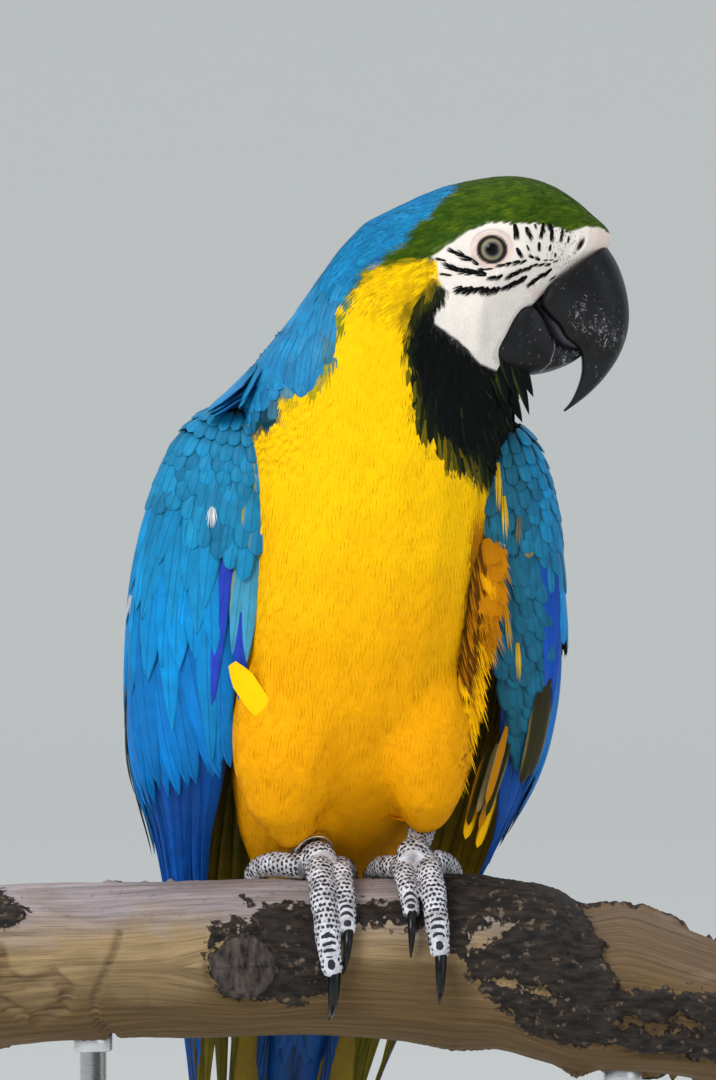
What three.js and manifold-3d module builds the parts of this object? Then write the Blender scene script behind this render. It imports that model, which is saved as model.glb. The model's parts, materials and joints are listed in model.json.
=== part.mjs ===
// A blue-and-yellow macaw gripping a cut length of branch, which a plain display stand holds up.
// Units are millimetres. +Z is up, the breast faces -Y, and the bird's own right side is towards -X.
// The bird and its perch are laid out from the top of the branch under its feet, which is z = 0 in
// the "perch frame"; the group that holds everything lifts that frame to PERCH_HEIGHT.
import * as THREE from "three";
import { mergeVertices } from "three/addons/utils/BufferGeometryUtils.js";
import Module from "manifold-3d";

const wasm = await Module();
wasm.setup();

// ---- driving dimensions ----
const PERCH_HEIGHT = 490; // from the floor to the top of the branch, so that the long tail hangs clear
const GAP = 0.3; // between neighbouring solids
const BASE = { radius: 150, thickness: 18, chamfer: 3 };
const ROD = { radius: 6, reach: 118 }; // reach: each rod's distance from the middle
const EYE = { radius: 8, x: 58.6, z: 279.7, out: 23.2 }; // out: from the head's midplane to the ball's centre
const HEAD_MIDPLANE = -14; // the y of the head's own plane of symmetry
const TAIL = { root: [-20, 62, -4], lean: [-0.1, 0.155, -0.98], length: 440, width: 24 };
const RING = { radius: 7.9, wall: 1.1, height: 3.6, at: [-20.4, 6, 12.1], along: [0.34, -0.8, -0.5] };

const COLOUR = {
  blue: 0x1b8fd0,
  green: 0x4f7a1c,
  yellow: 0xf2b200,
  horn: 0x23252b,
  scale: 0x9a9a98,
  bare: 0xe9e2de,
  iris: 0xa9a07c,
  tongue: 0x4a4a50,
  wood: 0x8f7350,
  steel: 0x9a9ea3,
  stand: 0x2f2d2b,
};

// ---- small helpers ----
const vec = (x, y, z) => new THREE.Vector3(x, y, z);

// Rows of numbers read as smooth functions of a place from 0 (first row) to 1 (last row).
function rowAt(table, place) {
  const spot = place * (table.length - 1);
  const low = Math.min(Math.floor(spot), table.length - 2);
  const t = spot - low;
  const row = (i) => table[Math.max(0, Math.min(table.length - 1, i))];
  return table[0].map((_, column) => {
    const [a, b, c, d] = [low - 1, low, low + 1, low + 2].map((i) => row(i)[column]);
    return b + 0.5 * t * (c - a + t * (2 * a - 5 * b + 4 * c - d + t * (3 * (b - c) + d - a)));
  });
}

const rowsOf = (table, steps) =>
  Array.from({ length: steps + 1 }, (_, i) => rowAt(table, i / steps));

// A geometry as a solid whose faces point outwards.
function solid(geometry) {
  const bare = geometry.clone();
  bare.deleteAttribute("normal");
  bare.deleteAttribute("uv");
  const merged = mergeVertices(bare, 1e-4);
  const triVerts = new Uint32Array(merged.index.array);
  const vertProperties = merged.attributes.position.array;
  const made = new wasm.Manifold(new wasm.Mesh({ numProp: 3, vertProperties, triVerts }));
  if (made.volume() > 0) return made;
  for (let i = 0; i < triVerts.length; i += 3) {
    [triVerts[i + 1], triVerts[i + 2]] = [triVerts[i + 2], triVerts[i + 1]];
  }
  return new wasm.Manifold(new wasm.Mesh({ numProp: 3, vertProperties, triVerts }));
}

// A closed body through rings of points. Each end is closed by a ladder between the ring's halves.
function loft(rings) {
  const around = rings[0].length;
  const end = (rings.length - 1) * around;
  const index = [];
  for (let k = 0; k < around; k++) {
    const next = (k + 1) % around;
    for (let r = 0; r + 1 < rings.length; r++) {
      const [a, b] = [r * around + k, r * around + next];
      index.push(a, b, b + around, a, b + around, a + around);
    }
  }
  for (let k = 0; k + 1 < around / 2; k++) {
    const facing = around - 1 - k;
    index.push(k + 1, k, facing, k + 1, facing, facing - 1);
    index.push(...[k, k + 1, facing, k + 1, facing - 1, facing].map((corner) => corner + end));
  }
  const geometry = new THREE.BufferGeometry().setFromPoints(rings.flat());
  geometry.setIndex(index);
  return solid(geometry);
}

// Points of a rounded ring. "square" above 1 fills the ring's corners.
function ring(around, square, place) {
  const bend = (c) => Math.sign(c) * Math.abs(c) ** (1 / square);
  return Array.from({ length: around }, (_, k) => {
    const angle = (2 * Math.PI * k) / around;
    return place(bend(Math.cos(angle)), bend(Math.sin(angle)));
  });
}

// A round limb along a path. Each row is x, y, z and radius.
function limb(table, steps, around, grow = 0) {
  const curve = new THREE.CatmullRomCurve3(table.map(([x, y, z]) => vec(x, y, z)));
  const frames = curve.computeFrenetFrames(steps);
  const rings = rowsOf(table, steps).map((row, i) => {
    const centre = curve.getPoint(i / steps);
    const size = row[3] + grow;
    return ring(around, 1, (c, s) =>
      centre.clone().addScaledVector(frames.normals[i], c * size)
        .addScaledVector(frames.binormals[i], s * size),
    );
  });
  return loft(rings);
}

// The part of a solid on the side of a plane that the normal points to.
function side(body, point, normal) {
  const size = 900;
  const box = new THREE.BoxGeometry(size, size, size).translate(0, 0, size / 2);
  const turn = new THREE.Quaternion().setFromUnitVectors(vec(0, 0, 1), normal.clone().normalize());
  box.applyQuaternion(turn).translate(point.x, point.y, point.z);
  return body.intersect(solid(box));
}

// Two sides of a thin cut.
function parted(body, point, normal) {
  const step = normal.clone().normalize().multiplyScalar(GAP / 2);
  return [
    side(body, point.clone().add(step), normal),
    side(body, point.clone().sub(step), normal.clone().negate()),
  ];
}

// The largest of the bodies that a cut has left.
const main = (body) => body.decompose().sort((a, b) => b.volume() - a.volume())[0];
const join = (bodies) => bodies.reduce((sum, body) => sum.add(body));
const less = (body, ...others) => others.reduce((left, other) => left.subtract(other), body);

// ---- trunk and neck: level rings, each row z, middle x, half width, middle y, half depth ----
const TORSO = [
  [301, 34, 13, -13, 15],
  [291, 27, 26, -12, 24],
  [278, 22, 33, -11, 29],
  [262, 18, 41, -8, 33],
  [244, 16, 52, -4, 38],
  [224, 10, 61, 0, 43],
  [202, 7, 61, 4, 47],
  [165, 7, 57, 5, 52],
  [125, 3, 56, 8, 53],
  [85, -3, 54, 14, 51],
  [50, -9, 50, 25, 46],
  [22, -14, 43, 42, 35],
  [-4, -18, 30, 56, 23],
  [-30, -21, 20, 64, 12],
];

function torso(grow = 0) {
  return loft(
    rowsOf(TORSO, 14).map(([z, x, width, y, depth]) =>
      ring(18, 1.12, (c, s) => vec(x + c * (width + grow), y + s * (depth + grow), z)),
    ),
  );
}

// ---- head: upright rings across its own length, each row x, top, bottom, half width ----
const HEAD = [
  [16, 296, 262, 15],
  [27, 304.5, 243, 24],
  [42, 309.6, 227, 28],
  [57, 312.4, 222, 29.5],
  [66, 313, 232, 29],
  [74, 312.6, 251, 27.5],
  [84, 309.8, 261, 23.5],
  [94, 304, 268.5, 19.5],
  [104, 295.6, 276, 16],
  [111.2, 287.6, 281.4, 8],
];

function headForm() {
  return loft(
    rowsOf(HEAD, 10).map(([x, top, bottom, width]) =>
      ring(16, 1.12, (c, s) =>
        vec(x, HEAD_MIDPLANE + c * width, (top + bottom) / 2 + (s * (top - bottom)) / 2),
      ),
    ),
  );
}

// ---- bill: slanted rings, each row outer x, z, inner x, z and half width ----
const UPPER_BILL = [
  [109.3, 281.5, 82.5, 262.5, 15.4],
  [114.3, 273.5, 84.3, 257, 16],
  [118, 263, 87.6, 252, 15.2],
  [119.6, 252, 91.6, 247, 13.8],
  [118.6, 242, 94.6, 241, 12],
  [115, 232.5, 99.4, 235.3, 9.2],
  [109, 223.5, 99.2, 227.3, 6.4],
  [102, 216.2, 97.2, 219.6, 4],
  [96, 211.4, 94.3, 213.2, 2.3],
  [91.4, 208.2, 90.8, 208.8, 0.6],
];
const LOWER_BILL = [
  [70, 255, 60, 228.5, 13],
  [76.6, 257.6, 67.5, 225.4, 14.6],
  [80.6, 254.5, 76, 224.4, 14],
  [84, 247.6, 83, 225.5, 12.6],
  [87.4, 239.6, 89, 227.4, 10.6],
  [93, 236.6, 94.6, 230, 8],
  [98.4, 235.2, 98.9, 233, 5.4],
];

function bill(table, steps, around, grow = 0) {
  return loft(
    rowsOf(table, steps).map(([outerX, outerZ, innerX, innerZ, width]) => {
      const middle = vec((outerX + innerX) / 2, HEAD_MIDPLANE, (outerZ + innerZ) / 2);
      const reach = vec((outerX - innerX) / 2, 0, (outerZ - innerZ) / 2);
      reach.setLength(reach.length() + grow);
      return ring(around, 1.2, (c, s) =>
        middle.clone().addScaledVector(reach, c).add(vec(0, s * (width + grow), 0)),
      );
    }),
  );
}

const TONGUE = [
  [76, HEAD_MIDPLANE, 258.4, 5],
  [82, HEAD_MIDPLANE, 255, 6.6],
  [86.5, HEAD_MIDPLANE, 249, 6.4],
  [90.6, HEAD_MIDPLANE, 242, 5.4],
  [95, HEAD_MIDPLANE, 238.4, 3],
];

function eyeBall(towards, grow = 0) {
  const ball = new THREE.SphereGeometry(EYE.radius + grow, 12, 8);
  ball.translate(EYE.x, HEAD_MIDPLANE + towards * EYE.out, EYE.z);
  return solid(ball);
}

// ---- legs: paths with rows x, y, z and radius ----
const THIGH = {
  right: [
    [-22, 8, 98, 35],
    [-28, -6, 66, 30.5],
    [-33, -10, 43, 25],
    [-33, 0, 30, 17],
    [-28, 13, 21, 10.5],
  ],
  left: [
    [22, 8, 98, 35],
    [28, -4, 66, 28],
    [31, -8, 46, 21.5],
    [31, -1, 33, 15],
    [28.5, 12, 25, 9.5],
  ],
};
const SHANK = {
  right: [
    [-28, 22, 21, 6.2],
    [-24.5, 15, 17, 5.8],
    [-20.4, 6, 11.8, 5.7],
    [-17.5, -4, 9.4, 7.6],
    [-16, -10, 6.6, 6.4],
  ],
  left: [
    [29.5, 22, 24, 6.2],
    [28, 14, 19, 5.8],
    [26, 5, 13.6, 5.8],
    [24.8, -4, 10.4, 7.8],
    [24.6, -10, 7.2, 6.6],
  ],
};
// Each toe runs over the branch from its top: x at each end, the angles that the toe and the tip
// of its claw reach round the branch (towards its front above 0), the toe's thickest radius, and
// how early it swings out sideways.
const TOES = {
  right: [
    { name: "front_outer", from: -17.6, to: -10.4, ends: 97, claw: 131, radius: 6.3, sweep: 0.75 },
    { name: "front_inner", from: -8, to: -4.2, ends: 70, claw: 96, radius: 4.9, sweep: 1 },
    { name: "hind_outer", from: -24, to: -47, ends: -70, claw: -98, radius: 5.4, sweep: 4.2 },
    { name: "hind_inner", from: -13, to: -3.5, ends: -60, claw: -86, radius: 4.5, sweep: 3.2 },
  ],
  left: [
    { name: "front_outer", from: 30.6, to: 36.4, ends: 83, claw: 112, radius: 5.8, sweep: 1 },
    { name: "front_inner", from: 19.4, to: 23.8, ends: 57, claw: 83, radius: 4.9, sweep: 1 },
    { name: "hind_outer", from: 29, to: 43, ends: -70, claw: -98, radius: 5.5, sweep: 3.2 },
    { name: "hind_inner", from: 20, to: 6, ends: -60, claw: -86, radius: 4.7, sweep: 3.2 },
  ],
};
const FOOT_ANGLE = 8; // where the toes part, just in front of the branch's top

// ---- branch: rows x, height of its axis, radius ----
const BRANCH = [
  [-192, -41, 36.5],
  [-159, -39.5, 36],
  [-115, -37.3, 34.2],
  [-70, -35.8, 34.9],
  [-26, -34.6, 34.8],
  [10, -35.6, 35.6],
  [41, -37, 37.6],
  [63, -38.7, 37],
  [85, -45, 37.3],
  [101, -51, 34.6],
  [119, -51, 36.2],
  [140, -55, 33.5],
  [164, -61, 31.4],
  [192, -68, 30],
];

function branchAt(x) {
  let [low, high] = [0, 1];
  for (let i = 0; i < 30; i++) {
    const middle = (low + high) / 2;
    if (rowAt(BRANCH, middle)[0] < x) low = middle;
    else high = middle;
  }
  const [, z, radius] = rowAt(BRANCH, low);
  return { z, radius };
}

// Wood is never quite round: a swell and a hollow wind along it, but not under the feet.
function branch(grow = 0) {
  const around = 16;
  const rings = rowsOf(BRANCH, 15).map(([x, z, radius]) =>
    Array.from({ length: around }, (_, k) => {
      const angle = (2 * Math.PI * k) / around;
      const calm = THREE.MathUtils.smoothstep(Math.abs(x), 55, 90);
      const wave = 0.03 * Math.sin(3 * angle + x / 37) + 0.02 * Math.sin(5 * angle - x / 21);
      const size = radius * (1 + calm * wave) + grow;
      return vec(x, size * Math.cos(angle), z + size * Math.sin(angle));
    }),
  );
  return loft(rings);
}

// A place on the branch: x along it, and an angle from its top towards its front.
function onBranch(x, degrees, above) {
  const { z, radius } = branchAt(x);
  const angle = THREE.MathUtils.degToRad(degrees);
  return [x, -(radius + above) * Math.sin(angle), z + (radius + above) * Math.cos(angle)];
}

// A toe's path: from its sole over and round the branch.
function toePath(toe) {
  const steps = 6;
  return Array.from({ length: steps + 1 }, (_, i) => {
    const t = i / steps;
    const across = 1 - (1 - t) ** toe.sweep;
    const radius = toe.radius * (1 - 0.27 * t * t);
    const lift = radius * (1 + 0.07 * Math.sin(t * Math.PI)) + 0.7;
    const x = THREE.MathUtils.lerp(toe.from, toe.to, across);
    return [...onBranch(x, THREE.MathUtils.lerp(FOOT_ANGLE, toe.ends, t), lift), radius];
  });
}

function clawPath(toe) {
  const steps = 4;
  const starts = toe.ends - 4 * Math.sign(toe.ends);
  return Array.from({ length: steps + 1 }, (_, i) => {
    const t = i / steps;
    const above = toe.radius * 0.8 + 1.2 + 2.4 * Math.sin(t * Math.PI) - 3.2 * t * t;
    const radius = toe.radius * 0.48 * (1 - 0.84 * t);
    return [...onBranch(toe.to, THREE.MathUtils.lerp(starts, toe.claw, t), above), radius];
  });
}

// ---- wings: a curved sheet on each side. Each row is z, then x and y of the front edge, of the
// outermost line and of the back edge ----
const WING = {
  right: [
    [211, -46, -2, -58, 8, -46, 26],
    [196, -43, -12, -77, 6, -40, 45],
    [165, -44, -16, -91, 12, -30, 64],
    [130, -49, -16, -98.5, 16, -27, 73],
    [90, -55, -12, -101, 22, -25, 79],
    [50, -62, 4, -100, 32, -27, 84],
    [10, -67, 36, -90, 50, -33, 89],
    [-40, -68, 50, -83, 64, -43, 94],
    [-100, -68, 66, -77, 78, -54, 98],
    [-165, -68, 84, -71, 91, -64, 101],
  ],
  left: [
    [203, 62, -2, 68, 8, 56, 26],
    [188, 60, -10, 78, 8, 48, 45],
    [162, 58, -14, 85, 14, 38, 63],
    [130, 59, -12, 88, 18, 30, 72],
    [90, 63, -4, 88, 26, 24, 79],
    [50, 65, 12, 79, 40, 17, 85],
    [10, 50, 42, 60, 56, 8, 90],
    [-40, 27, 58, 36, 68, -2, 95],
    [-100, 3, 74, 10, 84, -11, 99],
    [-155, -7, 88, -4, 93, -15, 102],
  ],
};
const WING_TIPS = 5; // feather tips along the lower edge of each part of a wing
const SEAM = 0.0065; // between a wing's parts, as a share of its length

// A point on a wing's outer sheet: u from its front edge to its back, v from shoulder to tip.
function onWing(name, u, v) {
  const [z, frontX, frontY, outX, outY, backX, backY] = rowAt(WING[name], v);
  const [a, b, c] = [(1 - u) ** 2, 2 * u * (1 - u), u ** 2];
  const pull = (front, out, back) => 2 * out - (front + back) / 2;
  return vec(
    a * frontX + b * pull(frontX, outX, backX) + c * backX,
    a * frontY + b * pull(frontY, outY, backY) + c * backY,
    z,
  );
}

function wingFrame(name, u, v) {
  const step = 0.01;
  const across = onWing(name, u + step, v).sub(onWing(name, u - step, v)).normalize();
  const down = onWing(name, u, v + step).sub(onWing(name, u, v - step)).normalize();
  const out = across.clone().cross(down).normalize();
  if (name === "left") out.negate();
  return { at: onWing(name, u, v), across, out };
}

// One part of a wing, from its upper edge to its lower edge on the sheet. Both edges can be
// scalloped with the tips of a row of feathers.
function wingPart(name, { top, bottom, from, to, lift, depth, steps }) {
  const around = 2 * WING_TIPS;
  const rings = Array.from({ length: steps + 1 }, (_, i) => {
    const t = i / steps;
    const frames = Array.from({ length: around + 1 }, (_, k) => {
      const share = k / around;
      const edge = THREE.MathUtils.lerp(top(share), bottom(share), t);
      return wingFrame(name, THREE.MathUtils.lerp(from(t), to(t), share), edge);
    });
    const thick = (k) => depth(t) * Math.min(1, 0.35 + 1.7 * Math.sin((k / around) * Math.PI));
    const outer = frames.map(({ at, out }) => at.clone().addScaledVector(out, lift));
    const inner = frames.map(({ at, out }, k) => at.clone().addScaledVector(out, lift - thick(k)));
    return [...outer, ...inner.reverse()];
  });
  return loft(rings);
}

// A line across a wing at one height, notched between feather tips.
const tips = (height, reach) => (share) =>
  height + (reach / 2) * (1 - Math.cos(share * WING_TIPS * 2 * Math.PI));

// ---- tail: twelve tapering feathers in a narrow stepped fan, with coverts over and under ----
function tailFrame(along, across, behind) {
  const lean = vec(...TAIL.lean).normalize();
  const acrossTail = vec(1, 0, 0).addScaledVector(lean, -lean.x).normalize();
  const out = lean.clone().cross(acrossTail).normalize();
  if (out.y < 0) out.negate();
  const at = vec(...TAIL.root).addScaledVector(lean, along)
    .addScaledVector(acrossTail, across).addScaledVector(out, behind);
  return { at, across: acrossTail, out };
}

// A thin feather through frames, which narrows to a rounded tip.
function blade(frames, width, thickness) {
  const last = frames.length - 1;
  return loft(
    frames.map(({ at, across, out }, i) => {
      const t = i / last;
      const wide = width * (0.7 + 0.3 * Math.min(1, 4 * t)) * Math.max(0.12, (1 - t ** 3) ** 0.5);
      const corner = (a, o) =>
        at.clone().addScaledVector(across, a * wide).addScaledVector(out, (o * thickness) / 2);
      return [corner(1, 1), corner(-1, 1), corner(-1, -1), corner(1, -1)];
    }),
  );
}

// Pair 0 is the long middle pair, which lies at the back of the folded tail.
function tailFeather(pair, hand) {
  const steps = 6;
  const length = TAIL.length * [1, 0.86, 0.73, 0.62, 0.53, 0.47][pair];
  const offset = [3, 5.5, 8, 10.5, 13, 15.5][pair] * hand;
  const layer = 2 * pair + (hand > 0 ? 1 : 0);
  const frames = Array.from({ length: steps + 1 }, (_, i) => {
    const t = i / steps;
    return tailFrame(length * t, offset * (0.75 + 0.5 * t), 8 - 1.35 * layer);
  });
  return blade(frames, TAIL.width / 2, 1.0);
}

function tailCoverts(grow = 0) {
  const [steps, around, length] = [6, 14, 112];
  return loft(
    Array.from({ length: steps + 1 }, (_, i) => {
      const t = i / steps;
      const taper = (1 - 0.97 * t ** 2.6) ** 0.6;
      const { at, across, out } = tailFrame(-16 + (length + 16) * t, 0, 1 + 1.5 * t);
      return ring(around, 1.1, (c, s) =>
        at.clone().addScaledVector(across, c * (23 * taper + grow))
          .addScaledVector(out, s * (12 * taper + grow)),
      );
    }),
  );
}

// ---- leg ring, and the space that it needs ----
function aroundLeg(profile) {
  const points = profile.map(([r, y]) => new THREE.Vector2(r, y));
  const turn = new THREE.Quaternion().setFromUnitVectors(
    vec(0, 1, 0), vec(...RING.along).normalize(),
  );
  const band = new THREE.LatheGeometry(points, 18);
  return solid(band.translate(0, -RING.height / 2, 0).applyQuaternion(turn)
    .translate(...RING.at));
}

const { radius: inside, wall, height } = RING;
const ringSpace = aroundLeg([[0, -1], [inside + wall + 2 * GAP, -1],
  [inside + wall + 2 * GAP, height + 1], [0, height + 1]]);
const legRing = aroundLeg([[inside, 0], [inside + wall, 0], [inside + wall, height],
  [inside, height], [inside, 0]]);

// ---- build the solids ----
const upperBillClear = bill(UPPER_BILL, 10, 12, GAP);
const lowerBillClear = bill(LOWER_BILL, 6, 12, GAP);
const upperBill = bill(UPPER_BILL, 10, 12);
const lowerBill = less(bill(LOWER_BILL, 6, 12), upperBillClear);
const tongue = less(limb(TONGUE, 5, 8), lowerBillClear, upperBillClear);
const flesh = less(
  join([torso(), headForm()]),
  upperBillClear,
  lowerBillClear,
  eyeBall(-1, GAP),
  eyeBall(1, GAP),
  limb(TONGUE, 5, 8, GAP),
);

const [head, belowHead] = parted(flesh, vec(26, 0, 262), vec(0.72, -0.1, 0.69));
const [neck, trunk] = parted(belowHead, vec(8, 0, 214), vec(0.16, -0.1, 1));
const torsoClear = torso(GAP);
const branchClear = branch(GAP);

// The ring sits in a notch of the thigh beside it. Each part of a leg is cut back by the parts
// before it.
function leg(hand) {
  const parts = {};
  const taken = [torsoClear, branchClear];
  const add = (name, table, steps, around) => {
    parts[name] = main(less(limb(table, steps, around), ...taken));
    taken.push(limb(table, steps, around, GAP));
  };
  add(`thigh_${hand}`, THIGH[hand], 6, 12);
  parts[`thigh_${hand}`] = less(parts[`thigh_${hand}`], ringSpace);
  add(`shank_${hand}`, SHANK[hand], 4, 8);
  taken.push(ringSpace);
  for (const toe of TOES[hand]) {
    add(`toe_${hand}_${toe.name}`, toePath(toe), 7, 8);
    add(`claw_${hand}_${toe.name}`, clawPath(toe), 4, 6);
  }
  return parts;
}

function wing(name) {
  const [lower, last] = [0.53, 0.67];
  const parts = {
    coverts: wingPart(name, {
      top: () => 0.004, bottom: tips(lower, 0.028), from: (t) => 0.04 * t, to: (t) => 1 - 0.04 * t,
      lift: 1.7, depth: (t) => 15 - 8.5 * t, steps: 6,
    }),
    secondaries: wingPart(name, {
      top: tips(lower + SEAM, 0.028), bottom: tips(last, 0.014), from: (t) => 0.04 + 0.05 * t,
      to: (t) => 0.96 - 0.05 * t, lift: 0, depth: (t) => 5 - t, steps: 3,
    }),
    primaries: wingPart(name, {
      top: tips(last + SEAM, 0.014), bottom: (share) => 0.99 - 0.14 * Math.abs(share - 0.6),
      from: (t) => 0.09 + 0.35 * t * t, to: (t) => 0.91 - 0.23 * t * t,
      lift: 0, depth: (t) => 4 - 1.8 * t, steps: 5,
    }),
  };
  return Object.fromEntries(
    Object.entries(parts).map(([part, body]) => [`wing_${name}_${part}`, less(body, torsoClear)]),
  );
}

const tailRoot = less(tailCoverts(), torsoClear);
const tailRootClear = tailCoverts(GAP);
const tail = {};
for (let pair = 0; pair < 6; pair++) {
  for (const [hand, sign] of [["right", -1], ["left", 1]]) {
    const feather = less(tailFeather(pair, sign), tailRootClear, torsoClear);
    tail[`tail_feather_${hand}_${pair + 1}`] = main(feather);
  }
}

// ---- stand ----
function standRod(x) {
  const { z, radius } = branchAt(x);
  const bottom = -PERCH_HEIGHT + BASE.thickness + GAP;
  const top = z - radius + 6;
  const rod = new THREE.CylinderGeometry(ROD.radius, ROD.radius, top - bottom, 20);
  rod.rotateX(Math.PI / 2).translate(x, 0, (top + bottom) / 2);
  return less(solid(rod), branchClear);
}

function standBase() {
  const { radius, thickness, chamfer } = BASE;
  const profile = [[0, 0], [radius, 0], [radius, thickness - chamfer],
    [radius - chamfer, thickness], [0, thickness]];
  const disc = new THREE.LatheGeometry(profile.map(([r, z]) => new THREE.Vector2(r, z)), 36);
  disc.rotateX(Math.PI / 2).translate(0, 0, -PERCH_HEIGHT);
  return solid(disc);
}

// ---- name, colour and place every solid ----
const object = new THREE.Group();
const bird = new THREE.Group();
const stand = new THREE.Group();
bird.position.z = PERCH_HEIGHT;
stand.position.z = PERCH_HEIGHT;
object.add(bird, stand);

function show(group, name, body, color, roughness = 0.8, metalness = 0) {
  const { vertProperties, triVerts } = body.getMesh();
  const geometry = new THREE.BufferGeometry();
  geometry.setAttribute("position", new THREE.BufferAttribute(vertProperties, 3));
  geometry.setIndex(new THREE.BufferAttribute(triVerts, 1));
  geometry.computeVertexNormals();
  const material = new THREE.MeshStandardMaterial({ color, roughness, metalness });
  const mesh = new THREE.Mesh(geometry, material);
  mesh.name = name;
  group.add(mesh);
}

show(bird, "head", head, COLOUR.green);
show(bird, "neck", neck, COLOUR.blue);
show(bird, "trunk", trunk, COLOUR.yellow);
show(bird, "bill_upper", upperBill, COLOUR.horn, 0.35);
show(bird, "bill_lower", lowerBill, COLOUR.horn, 0.4);
show(bird, "tongue", tongue, COLOUR.tongue, 0.5);
for (const [hand, towards] of [["right", -1], ["left", 1]]) {
  show(bird, `eye_${hand}`, eyeBall(towards), COLOUR.iris, 0.1);
  for (const [name, body] of Object.entries(leg(hand))) {
    const kind = name.split("_")[0];
    const color = { thigh: COLOUR.yellow, claw: COLOUR.horn }[kind] ?? COLOUR.scale;
    show(bird, name, body, color);
  }
  for (const [name, body] of Object.entries(wing(hand))) show(bird, name, body, COLOUR.blue);
}
show(bird, "tail_coverts", tailRoot, COLOUR.yellow);
for (const [name, body] of Object.entries(tail)) show(bird, name, body, COLOUR.blue);
show(bird, "leg_ring", legRing, COLOUR.steel, 0.3, 1);
show(bird, "perch_branch", branch(), COLOUR.wood, 0.9);
show(stand, "stand_rod_right", standRod(-ROD.reach), COLOUR.steel, 0.4, 1);
show(stand, "stand_rod_left", standRod(ROD.reach), COLOUR.steel, 0.4, 1);
show(stand, "stand_base", standBase(), COLOUR.stand, 0.6);

export default object;
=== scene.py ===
"""A life-size display model of a blue-and-yellow macaw that grips a cut branch on a plain stand."""

import json
import math
from contextlib import contextmanager
from functools import partial

import bmesh
import bpy
import numpy as np
from bpy.props import FloatProperty, FloatVectorProperty, IntProperty, PointerProperty
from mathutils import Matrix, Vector
from mathutils.bvhtree import BVHTree

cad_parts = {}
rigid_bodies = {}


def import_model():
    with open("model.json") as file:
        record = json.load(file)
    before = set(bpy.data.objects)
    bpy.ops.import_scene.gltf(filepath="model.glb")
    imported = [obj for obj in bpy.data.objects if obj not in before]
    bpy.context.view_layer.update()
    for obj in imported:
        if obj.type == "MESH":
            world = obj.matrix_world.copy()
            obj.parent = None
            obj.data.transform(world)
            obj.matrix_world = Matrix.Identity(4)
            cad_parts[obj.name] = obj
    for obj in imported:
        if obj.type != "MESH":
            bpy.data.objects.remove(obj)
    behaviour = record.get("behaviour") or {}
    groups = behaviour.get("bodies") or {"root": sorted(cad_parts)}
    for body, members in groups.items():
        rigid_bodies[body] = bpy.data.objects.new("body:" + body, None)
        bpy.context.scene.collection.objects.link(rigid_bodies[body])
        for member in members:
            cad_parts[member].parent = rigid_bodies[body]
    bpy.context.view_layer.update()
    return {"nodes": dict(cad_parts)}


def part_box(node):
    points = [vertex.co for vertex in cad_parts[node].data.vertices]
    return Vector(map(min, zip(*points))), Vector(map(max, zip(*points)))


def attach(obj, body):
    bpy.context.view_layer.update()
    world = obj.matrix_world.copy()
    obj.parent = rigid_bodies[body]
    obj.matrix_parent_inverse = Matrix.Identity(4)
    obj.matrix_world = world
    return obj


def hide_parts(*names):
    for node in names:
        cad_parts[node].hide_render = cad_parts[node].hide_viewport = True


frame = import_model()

bl_info = {
    "name": "Macaw Display Model",
    "version": (1, 0, 0),
    "blender": (4, 5, 0),
    "location": "3D View > Sidebar > Macaw",
    "description": "Dresses the solid frame of a perched macaw with skin, plumage, horn and wood",
    "category": "Object",
}

# ---- shared sizes, in mm. The bird's own frame has z = 0 on top of the branch, at its feet ----
MM = 0.001
PERCH = 490
HEAD_MIDPLANE = -14
EYE = {"radius": 8, "x": 58.6, "z": 279.7, "out": 23.2}
FLESH = ("head", "neck", "trunk", "thigh_right", "thigh_left", "tail_coverts")
HANDS = {"right": -1, "left": 1}
RING = {"radius": 7.9, "wall": 1.3, "height": 4.4, "at": (-20.2, 3.6, 12.3), "along": (0.3, -0.82, -0.5)}


def linear(code):
    """An sRGB hex colour as linear red, green, blue and 1."""
    parts = [int(code[i : i + 2], 16) / 255 for i in (1, 3, 5)]
    return (*[c / 12.92 if c <= 0.04045 else ((c + 0.055) / 1.055) ** 2.4 for c in parts], 1.0)


def metres(points):
    """Places in mm in the bird's frame, in metres over the floor."""
    return (np.asarray(points, float) + (0, 0, PERCH)) * MM


def ease(low, high, value):
    """A soft step from 0 at low to 1 at high."""
    t = np.clip((np.asarray(value, float) - low) / (high - low), 0, 1)
    return t * t * (3 - 2 * t)


def unit(vectors):
    return vectors / np.maximum(np.linalg.norm(vectors, axis=-1, keepdims=True), 1e-9)


def blend(a, b, share):
    return a + (b - a) * share


def tint(colour, other, share):
    """Colours turned towards others by a share for each place."""
    return blend(colour, other, share[:, None])


def xyz(x, y, z):
    """Numbers or arrays as rows of x, y and z."""
    return np.stack(np.broadcast_arrays(x, y, z), -1).astype(float)


def hill(value):
    """A bell: 1 at 0, 0.37 at 1 and at -1."""
    return np.exp(-(value**2))


def row_at(table, place):
    """A table's rows as smooth functions of a place from 0 to 1."""
    table = np.asarray(table, float)
    spot = np.clip(np.asarray(place, float), 0, 1) * (len(table) - 1)
    low = np.clip(np.floor(spot).astype(int), 0, len(table) - 2)
    t = (spot - low)[..., None]
    a, b, c, d = (table[np.clip(low + step, 0, len(table) - 1)] for step in (-1, 0, 1, 2))
    return b + 0.5 * t * (c - a + t * (2 * a - 5 * b + 4 * c - d + t * (3 * (b - c) + d - a)))


def waves(points, size, seed, octaves=3):
    """Smooth noise from -1 to 1, about `size` across."""
    rng = np.random.default_rng(seed)
    total = np.zeros(len(points))
    for octave in range(octaves):
        for _ in range(4):
            heading = unit(rng.normal(size=3)) * (2 * math.pi * 1.7**octave / size)
            total += np.sin(points @ heading + rng.uniform(0, 2 * math.pi)) / 1.6**octave
    return total / 6


def arc_length(line):
    """How far along a line each place is."""
    return np.concatenate([[0], np.cumsum(np.linalg.norm(np.diff(line, axis=0), axis=1))])


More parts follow.
